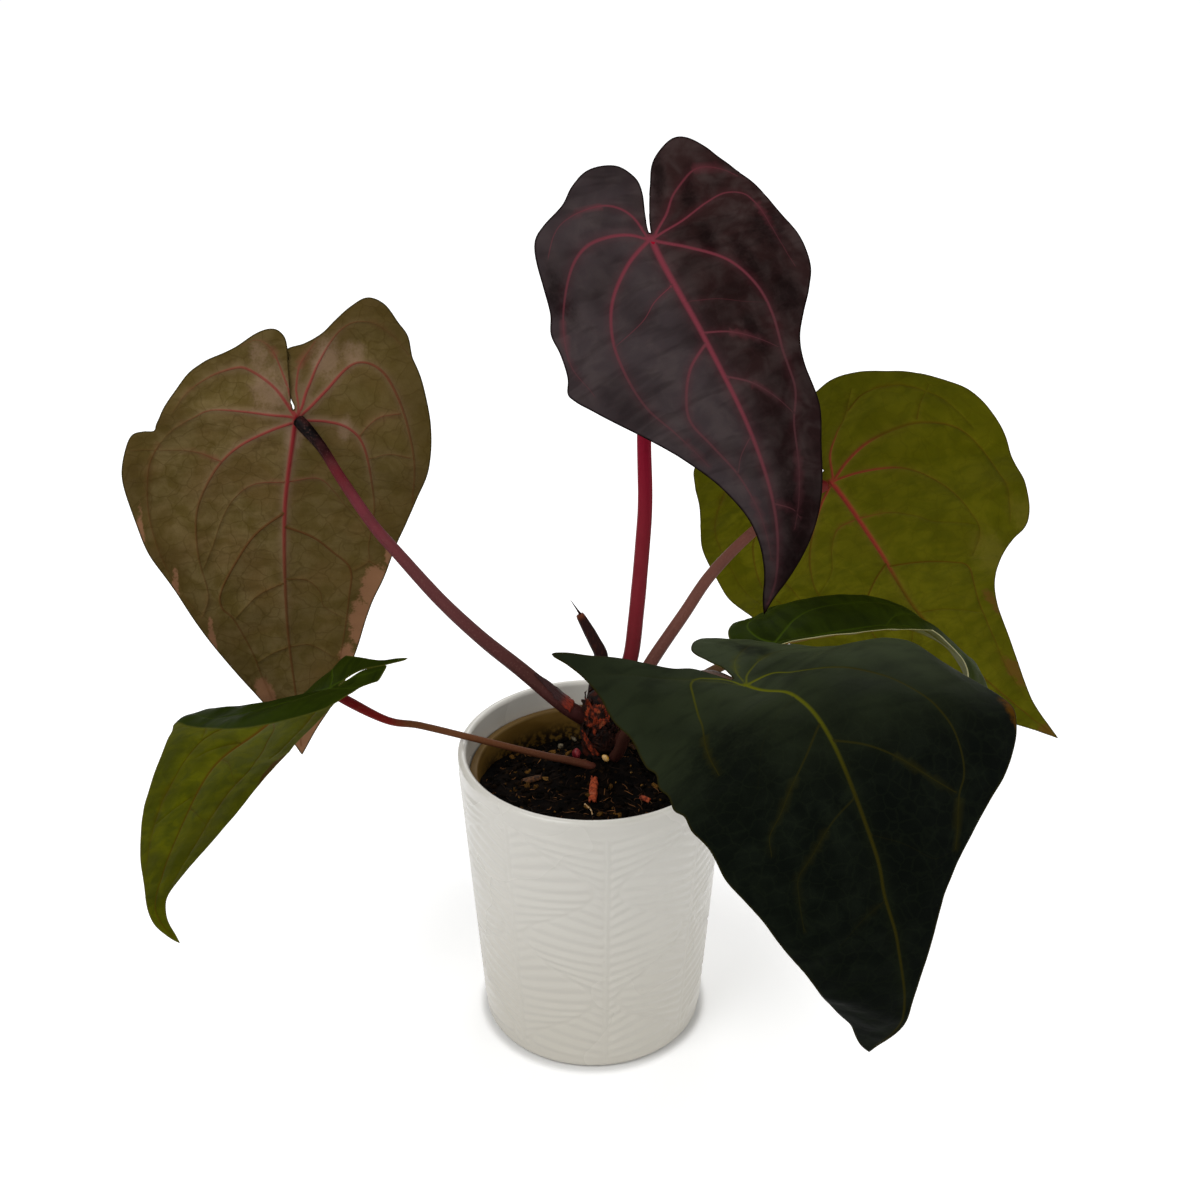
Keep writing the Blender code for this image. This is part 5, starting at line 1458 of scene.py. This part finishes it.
def ball(subdivisions):
    """Points and faces of a round ball of radius 1."""
    bm = bmesh.new()
    bmesh.ops.create_icosphere(bm, subdivisions=subdivisions, radius=1)
    points = [vert.co.copy() for vert in bm.verts]
    faces = [tuple(vert.index for vert in face.verts) for face in bm.faces]
    bm.free()
    return points, faces


def lump(rng, place, size, flatten, rough):
    """Vertices and faces of one uneven crumb."""
    points, faces = ball(2)
    seed = Vector((rng.uniform(0, 90), rng.uniform(0, 90), rng.uniform(0, 90)))
    turn = rng.uniform(0, 2 * math.pi)
    lean = rng.uniform(-0.4, 0.4)
    stretch = (size * rng.uniform(0.7, 1.5), size * rng.uniform(0.6, 1.0), size * flatten)
    verts = []
    for point in points:
        shape = 1 + rough * noise.noise(point * 1.3 + seed)
        x, y, z = (part * shape * scale for part, scale in zip(point, stretch))
        verts.append((place[0] + x * math.cos(turn) - y * math.sin(turn),
                      place[1] + x * math.sin(turn) + y * math.cos(turn), place[2] + z + x * lean))
    return verts, faces


def on_the_soil(rng, reach):
    """A random place on the mix, clear of the stem."""
    while True:
        radius = reach * math.sqrt(rng.random())
        turn = rng.uniform(0, 2 * math.pi)
        x, y = radius * math.cos(turn), radius * math.sin(turn)
        if math.hypot(x - STEM[0], y - STEM[1]) > STEM_RADIUS + 1:
            return x, y


def add_shaded(name, parts, shades, material):
    """A piece of many loose parts, each with its own shade from 0 to 1."""
    verts, faces, owners = joined(parts)
    add_piece(name, verts, faces, [material], "potting_mix", shade=np.array(shades)[owners])


def crumb_finish():
    """Nearly black for most shades, then brown, then a few pale ones."""
    finish = Finish("crumbs", 0.03, (6, 4, 2))
    shade = finish.attribute("shade")
    grain = finish.noise(finish.place(), 1400.0, 3.0)
    finish.lay(finish.step(shade, 0.1, 0.6), (26, 17, 9))
    finish.lay(finish.step(shade, 0.66, 0.92), (104, 72, 30))
    finish.lay(finish.step(shade, 0.96, 1.0), (140, 108, 64))
    finish.lay(finish.step(grain, 0.45, 0.62), (14, 9, 6), 0.6)
    return finish.done(grain, 0.8, 0.95, (grain, 0.7, 0.4))


def add_crumbs():
    """Loose crumbs on the mix, paler in one patch."""
    rng = random.Random(41)
    parts, shades = [], []
    for _ in range(CRUMBS):
        x, y = on_the_soil(rng, 57.0)
        size = rng.choice(CRUMB_SIZES)
        parts.append(lump(rng, (x, y, soil_top(x, y) + size * 0.2), size, rng.uniform(0.5, 0.9), 0.9))
        loose = math.exp(-((x - LOOSE_PATCH[0]) ** 2 + (y - LOOSE_PATCH[1]) ** 2) / 340)
        shades.append(rng.random() ** (3.2 - 2.2 * loose))
    add_shaded("soil_crumbs", parts, shades, crumb_finish())


def fibre_finish():
    """From dark to straw brown by each fibre's shade."""
    finish = Finish("fibres", 0.1, (26, 16, 9))
    grain = finish.noise(finish.place(), 1100.0, 2.0)
    finish.lay(finish.step(finish.attribute("shade"), 0.45, 1.0), (120, 78, 42))
    finish.lay(finish.step(grain, 0.5, 0.66), (40, 25, 14), 0.6)
    return finish.done(grain, 0.65, 0.85, (grain, 0.4, 0.2))


def add_fibres():
    """Short bent fibres that lie on the mix."""
    rng = random.Random(77)
    parts, shades = [], []
    for _ in range(FIBRES):
        x, y = on_the_soil(rng, 55.0)
        turn = rng.uniform(0, 2 * math.pi)
        bend = rng.uniform(-0.5, 0.5)
        length = rng.uniform(2.5, 8.0)
        points = []
        for _ in range(4):
            points.append((x, y, soil_top(x, y) + rng.uniform(0.2, 0.9)))
            x += math.cos(turn) * length / 3
            y += math.sin(turn) * length / 3
            turn += bend
        if math.hypot(x, y) <= 57:
            line = spread(smooth_line(points, 5), 0.9)
            parts.append(round_tube(line, (0.10, rng.uniform(0.16, 0.3), 0.06), 6))
            shades.append(rng.random())
    add_shaded("soil_fibres", parts, shades, fibre_finish())


# ---------------------------------------------------------------- stem and its old scales

STEM_STEPS = 48
STEM_ROWS = 70
SCALE_ROWS = SCALE_COLUMNS = 26
SCALE_THICK = 0.35
SHEATH_REACH = (12, 38)  # mm up the first stalk
SHEATH_FACES = (0.35, -0.35, 0.9)
SHEATH_HALVES = (65, 9)  # degrees to each side, at its foot and its tip


def stem_radius(height):
    share = (height - STEM_FOOT) / (STEM_TOP - STEM_FOOT)
    return STEM_RADIUS * float(np.interp(share, *zip(*STEM_SHAPE)))


def stem_finish():
    """Black-brown bark with papery red-brown patches."""
    finish = Finish("stem", 0.1, (7, 4, 3))
    bark = finish.noise(finish.place((1, 1, 3)), 260.0, 4.0)
    papery = finish.noise(finish.place(), 120.0, 4.0, 0.8)
    finish.lay(finish.step(bark, 0.40, 0.64), (30, 13, 8))
    finish.lay(finish.step(papery, 0.58, 0.68), (70, 26, 13), 0.6)
    return finish.done(bark, 0.6, 0.85, (bark, 0.7, 0.7))


def add_stem():
    """The short ringed stem and the main roots that leave its foot."""
    turns = turns_of(STEM_STEPS)
    profile = []
    for height in np.linspace(STEM_FOOT, STEM_TOP, STEM_ROWS):
        level = (height - STEM_FOOT) / (STEM_TOP - STEM_FOOT)
        ring = 0.35 * math.cos(height * 1.35) + 0.12 * math.cos(height * 3.9 + 1)
        rough = np.array([bumpy(math.cos(t) * 2.5, math.sin(t) * 2.5, height / 3.0) for t in turns])
        relief = (ring + 0.5 * rough) * min(1, level * 6, (1 - level) * 6)
        profile.append((stem_radius(height) - 0.4 + relief, height))
    verts, faces = ring_mesh(profile, STEM_STEPS)
    parts = [(verts + np.array([*STEM, 0]), faces)]
    for i in range(ROOTS):
        turn = 2 * math.pi * (i + 0.3) / ROOTS
        route = [(STEM[0] * (1 - inward) + reach * math.cos(turn),
                  STEM[1] * (1 - inward) + reach * math.sin(turn), STEM_FOOT + rise)
                 for reach, inward, rise in ROOT_SHAPE]
        parts.append(round_tube(spread(smooth_line(route, 10), 2.0), (3.0, 3.0, 1.4), 14))
    verts, faces, _ = joined(parts)
    add_piece("stem", verts, faces, [stem_finish()], "stem", ["stem_and_roots"])


def dry_finish(name, low, high, pale):
    """Papery or woody dead tissue: streaked lengthwise, with dark clefts."""
    finish = Finish(name, 0.15, low)
    solid = finish.place()
    streak = finish.noise(finish.place((1, 1, 0.3)), 700.0, 4.0)
    cleft = finish.noise(finish.wobble(solid, 300.0, 0.002), 420.0, 4.0)
    finish.lay(finish.step(streak, 0.36, 0.62), high)
    finish.lay(finish.step(finish.noise(solid, 300.0, 3.0), 0.54, 0.70), pale, 0.5)
    finish.lay(finish.step(cleft, 0.46, 0.34), (22, 9, 6), 0.85)
    return finish.done(streak, 0.62, 0.85, (streak, 0.6, 0.4), (cleft, 0.6, 0.7))


def sheath_finish():
    """The scale on the first stalk: fresh and purple-brown, red and dry at its foot."""
    finish = Finish("sheath", 0.2, (126, 40, 22))
    streak = finish.noise(finish.place(), 800.0, 3.0)
    finish.lay(finish.step(finish.attribute("along"), 0.10, 0.34), (52, 26, 26))
    finish.lay(finish.step(streak, 0.46, 0.64), (34, 18, 16), 0.5)
    return finish.done(streak, 0.45, 0.65, (streak, 0.4, 0.3))


def sheet_faces(rows, columns):
    """Faces of a closed thin sheet: a lower grid, an upper grid and the rim between them."""
    shift = rows * columns
    faces = []
    for row in range(rows - 1):
        for column in range(columns - 1):
            a = row * columns + column
            quad = (a, a + 1, a + columns + 1, a + columns)
            faces += [quad, tuple(v + shift for v in reversed(quad))]
    rim = list(range(columns)) + [row * columns + columns - 1 for row in range(1, rows)]
    rim += [(rows - 1) * columns + column for column in range(columns - 2, -1, -1)]
    rim += [row * columns for row in range(rows - 2, 0, -1)]
    return faces + [(a, a + shift, b + shift, b) for a, b in zip(rim, rim[1:] + rim[:1])]


def scale_mesh(centres, headings, radii, middles, halves, seed):
    """A thin curved scale with a frayed upper edge, wrapped about a round core."""
    marks = np.linspace(0, len(centres) - 1, SCALE_ROWS)
    stations = np.arange(len(centres))
    centres, headings, middles = (read_rows(marks, stations, table) for table in (centres, headings, middles))
    radii, halves = (np.interp(marks, stations, values) for values in (radii, halves))
    inner, outer = [], []
    for row in range(SCALE_ROWS):
        heading = unit(headings[row])
        middle = unit(middles[row] - heading * np.dot(middles[row], heading))
        side = np.cross(heading, middle)
        for share in np.arange(SCALE_COLUMNS) / (SCALE_COLUMNS - 1) * 2 - 1:
            half = halves[row] * share * (1 + 0.40 * bumpy(seed, share, row / 3.0))
            outward = middle * math.cos(math.radians(half)) + side * math.sin(math.radians(half))
            fray = 1.1 if 2 * row < SCALE_ROWS else 1.9
            slip = bumpy(share * 7, seed + 3, 0) * fray * abs(2 * row / SCALE_ROWS - 1)
            lift = 0.35 * abs(share) ** 3 + 0.45 * bumpy(share * 5, seed, row / 5.0)
            base = centres[row] + heading * slip
            inner.append(base + outward * (radii[row] + lift))
            outer.append(base + outward * (radii[row] + lift + SCALE_THICK))
    return inner + outer, sheet_faces(SCALE_ROWS, SCALE_COLUMNS)


def add_stem_scale(name, low, high, azimuths, halves, seed, finish):
    """A dry scale on the stem: two heights, the azimuths there, and half widths in degrees."""
    count = len(halves)
    heights = np.linspace(low, high, count)
    centres = [(*STEM, height) for height in heights]
    radii = [stem_radius(height) + 0.5 for height in heights]
    middles = [(math.cos(turn), math.sin(turn), 0) for turn in np.radians(np.linspace(*azimuths, count))]
    verts, faces = scale_mesh(centres, [(0, 0, 1)] * count, radii, middles, halves, seed)
    add_piece(f"scale_{name}", verts, faces, [finish], "sheath", [f"cataphyll_{name}"])


def add_sheath():
    """The scale that hugs the foot of the first stalk."""
    route, radii = PETIOLES["left_back"]
    line = smooth_line(route, 16)
    travelled = lengths_along(line)
    wanted = np.linspace(*SHEATH_REACH, 7)
    centres = read_rows(wanted, travelled, line)
    hug = np.interp(wanted / travelled[-1], np.linspace(0, 1, len(radii)), radii) + 0.25
    verts, faces = scale_mesh(centres, unit(np.gradient(centres, axis=0)), hug, [SHEATH_FACES] * 7,
                              np.linspace(*SHEATH_HALVES, 7), 2.0)
    along = np.tile(np.repeat(np.linspace(0, 1, SCALE_ROWS), SCALE_COLUMNS), 2)
    add_piece("scale_sheath", verts, faces, [sheath_finish()], "sheath", ["cataphyll_sheath"], along=along)


def add_scales():
    orange = dry_finish("dry_scale", (52, 16, 8), (132, 48, 22), (150, 78, 44))
    brown = dry_finish("brown_scale", (14, 6, 4), (44, 19, 11), (76, 40, 24))
    add_sheath()
    add_stem_scale("band", 168.0, 181.0, (-112, -84), (20, 42, 46, 30), 5.0, orange)
    add_stem_scale("scrap", 156.5, 167.0, (-70, -80), (14, 30, 28, 12), 7.0, brown)
    add_stem_scale("strip", 151.5, 164.0, (-98, -146), (9, 12, 11, 6), 9.0, orange)
    add_flakes(orange, brown)


def flake(rng, turn, height, size, lean):
    """A ragged flake of length and width size that lies on the stem and peels off at one end."""
    columns, rows, thick = 5, 9, 0.22
    seed = rng.uniform(0, 90)
    peel = 0.3 + 3.2 * abs(math.sin(seed * 12.9))
    verts = []
    for layer in (0, 1):
        for u in np.arange(rows) * 2 / (rows - 1) - 1:
            for v in np.arange(columns) * 2 / (columns - 1) - 1:
                taper = (1 - 0.55 * abs(u) ** 1.5) * (1 + 0.5 * bumpy(u * 3, seed, v))
                along = u * size[0] / 2 * (1 + 0.35 * bumpy(v * 3, seed, 0))
                across = v * size[1] / 2 * taper
                rise = along * math.cos(lean) - across * math.sin(lean)
                aside = along * math.sin(lean) + across * math.cos(lean)
                radius = max(4.5, stem_radius(height + rise)) + 0.5 + 0.5 * max(0, u) ** 2 * peel
                radius += 0.35 * bumpy(u * 2, v * 2, seed) + layer * thick
                angle = turn + aside / radius
                verts.append((STEM[0] + radius * math.cos(angle), STEM[1] + radius * math.sin(angle),
                              height + rise))
    return verts, sheet_faces(rows, columns)


def add_flakes(orange, brown):
    """Loose bits of old scales all round the stem, most of them on its front."""
    rng = random.Random(29)
    for name, finish, count, low, high in (("orange", orange, 12, 166, 182), ("brown", brown, 46, 154, 181)):
        parts = []
        for _ in range(count):
            anywhere = rng.random() < 0.45
            turn = rng.uniform(0, 2 * math.pi) if anywhere else math.radians(rng.uniform(-190, -40))
            height = rng.uniform(low, high)
            size = (rng.uniform(5.0, 12.0), rng.uniform(1.8, 4.6))
            parts.append(flake(rng, turn, height, size, rng.uniform(-1.3, 1.3)))
        verts, faces, _ = joined(parts)
        add_piece(f"flakes_{name}", verts, faces, [finish], "sheath")


# ---------------------------------------------------------------- bud and litter

BUD_PLACE = (-8.4, 15.5, 151.6)
BUD_SIZE = (2.4, 2.4, 3.2)
# (name, centre, length, width, thickness, turn, material)
CHIPS = (("upright", (0.5, -8.5), 16.5, 4.6, 2.0, 1.52, "bark"),
         ("small", (27.5, -10.5), 5.5, 3.5, 1.6, -0.5, "bark"),
         ("left", (-32.0, 3.0), 10.0, 5.0, 2.0, 0.4, "old_bark"),
         ("back", (22.0, 44.0), 11.0, 5.0, 2.0, 2.2, "old_bark"),
         ("right", (40.0, 4.0), 10.0, 4.5, 2.0, 1.0, "old_bark"))
PERLITE = (("left", -17, 36, 2.0), ("back", -10, 46, 1.8), ("right", 34, 26, 2.0))
BEAD_PLACE = (7.0, 11.5, 151.2)
STRAW = ((-4, -20), (-1, -25), (0, -31))


def bud_finish():
    """Crimson, with paler lengthwise streaks."""
    finish = Finish("bud", 0.2, (92, 14, 24))
    streak = finish.noise(finish.place((1, 1, 0.2)), 900.0, 3.0)
    finish.lay(finish.step(streak, 0.4, 0.66), (134, 46, 50))
    return finish.done(streak, 0.35, 0.5, (streak, 0.3, 0.3))


def add_bud():
    """The small crimson bud at the stem's foot, three-sided and narrowed upwards."""
    rng = random.Random(5)
    points, faces = ball(4)
    verts = []
    for x, y, z in points:
        narrow = (1 - 0.35 * max(0, z) ** 2) * (1 + 0.05 * math.sin(math.atan2(y, x) * 3 + z * 2))
        place = (x * narrow, y * narrow, z)
        verts.append([middle + size * part for middle, size, part in zip(BUD_PLACE, BUD_SIZE, place)])
        verts[-1][2] += rng.uniform(-0.02, 0.02)
    add_piece("bud", verts, faces, [bud_finish()], "petiole", ["side_bud"])


def chip_mesh(rng, centre, length, width, thick, turn):
    """A split chip of bark, with broken ends and a ridged top, that lies on the mix."""
    columns, rows = 26, 10
    seed = rng.uniform(0, 50)
    verts = []
    for level in (0, 1):
        for u in np.arange(columns) / (columns - 1) - 0.5:
            for v in np.arange(rows) / (rows - 1) - 0.5:
                edge = 1 + 0.25 * bumpy(v * 4, seed, 1) * abs(u) * 2
                taper = (1 - 0.45 * abs(u) ** 1.5) * (1 + 0.2 * bumpy(u * 6, seed, v))
                along, across = u * length * edge, v * width * taper
                x = centre[0] + along * math.cos(turn) - across * math.sin(turn)
                y = centre[1] + along * math.sin(turn) + across * math.cos(turn)
                rounding = max(0.0, 1 - (2 * abs(v)) ** 3) ** 0.5
                body = thick * (0.35 + 0.65 * rounding) * (1 - 0.3 * abs(u))
                body += 0.28 * bumpy(v * 9, u * 2, seed)
                verts.append((x, y, soil_height(x, y) + 0.5 + body * level))
    return verts, sheet_faces(columns, rows)


def perlite_finish():
    """Chalky, grey-white and pitted."""
    finish = Finish("perlite", 0.3, (60, 50, 34))
    cloud = finish.noise(finish.place(), 500.0, 3.0)
    finish.lay(finish.step(cloud, 0.38, 0.62), (124, 112, 88))
    return finish.done(cloud, 0.8, 0.95, (finish.net(finish.place(), 1600.0), 0.8, 0.4))


def bead_finish():
    """Yellow coating, worn pale in places."""
    finish = Finish("bead", 0.5, (206, 150, 30))
    cloud = finish.noise(finish.place(), 420.0, 2.0)
    finish.lay(finish.step(cloud, 0.45, 0.55), (210, 170, 110))
    return finish.done(cloud, 0.3, 0.5, (cloud, 0.2, 0.3))


def add_litter():
    """Bark chips, perlite, a fertiliser bead and a straw fibre on the mix."""
    rng = random.Random(12)
    barks = {"bark": dry_finish("bark", (104, 40, 22), (164, 72, 40), (184, 108, 78)),
             "old_bark": dry_finish("old_bark", (40, 25, 15), (84, 52, 28), (104, 70, 44))}
    for name, centre, length, width, thick, turn, bark in CHIPS:
        verts, faces = chip_mesh(rng, centre, length, width, thick, turn)
        add_piece(f"chip_{name}", verts, faces, [barks[bark]], "bark", [f"bark_chip_{name}"])
    chalk = perlite_finish()
    for name, x, y, size in PERLITE:
        place = (x, y, soil_height(x, y) + 0.8 * size + 0.3)
        verts, faces = lump(rng, place, size * 0.9, 0.75, 0.5)
        add_piece(f"grit_{name}", verts, faces, [chalk], "perlite", [f"perlite_{name}"])
    verts, faces = lump(rng, BEAD_PLACE, 2.0, 1.0, 0.12)
    add_piece("bead", verts, faces, [bead_finish()], "bead", ["fertiliser_bead"])
    line = spread(smooth_line([(x, y, soil_height(x, y) + 1.0) for x, y in STRAW], 8), 0.5)
    verts, faces = round_tube(line, (0.5, 0.35), 12)
    straw = dry_finish("straw", (150, 116, 76), (190, 156, 112), (210, 184, 150))
    add_piece("straw", verts, faces, [straw], "straw", ["straw_fibre"])


def main():
    add_stage()
    for number, name in enumerate(LEAVES):
        add_leaf(name)
        add_stalk(name, number + 1.5)
    add_spike()
    add_cachepot()
    add_nursery_pot()
    add_soil()
    add_crumbs()
    add_fibres()
    add_stem()
    add_scales()
    add_bud()
    add_litter()


main()
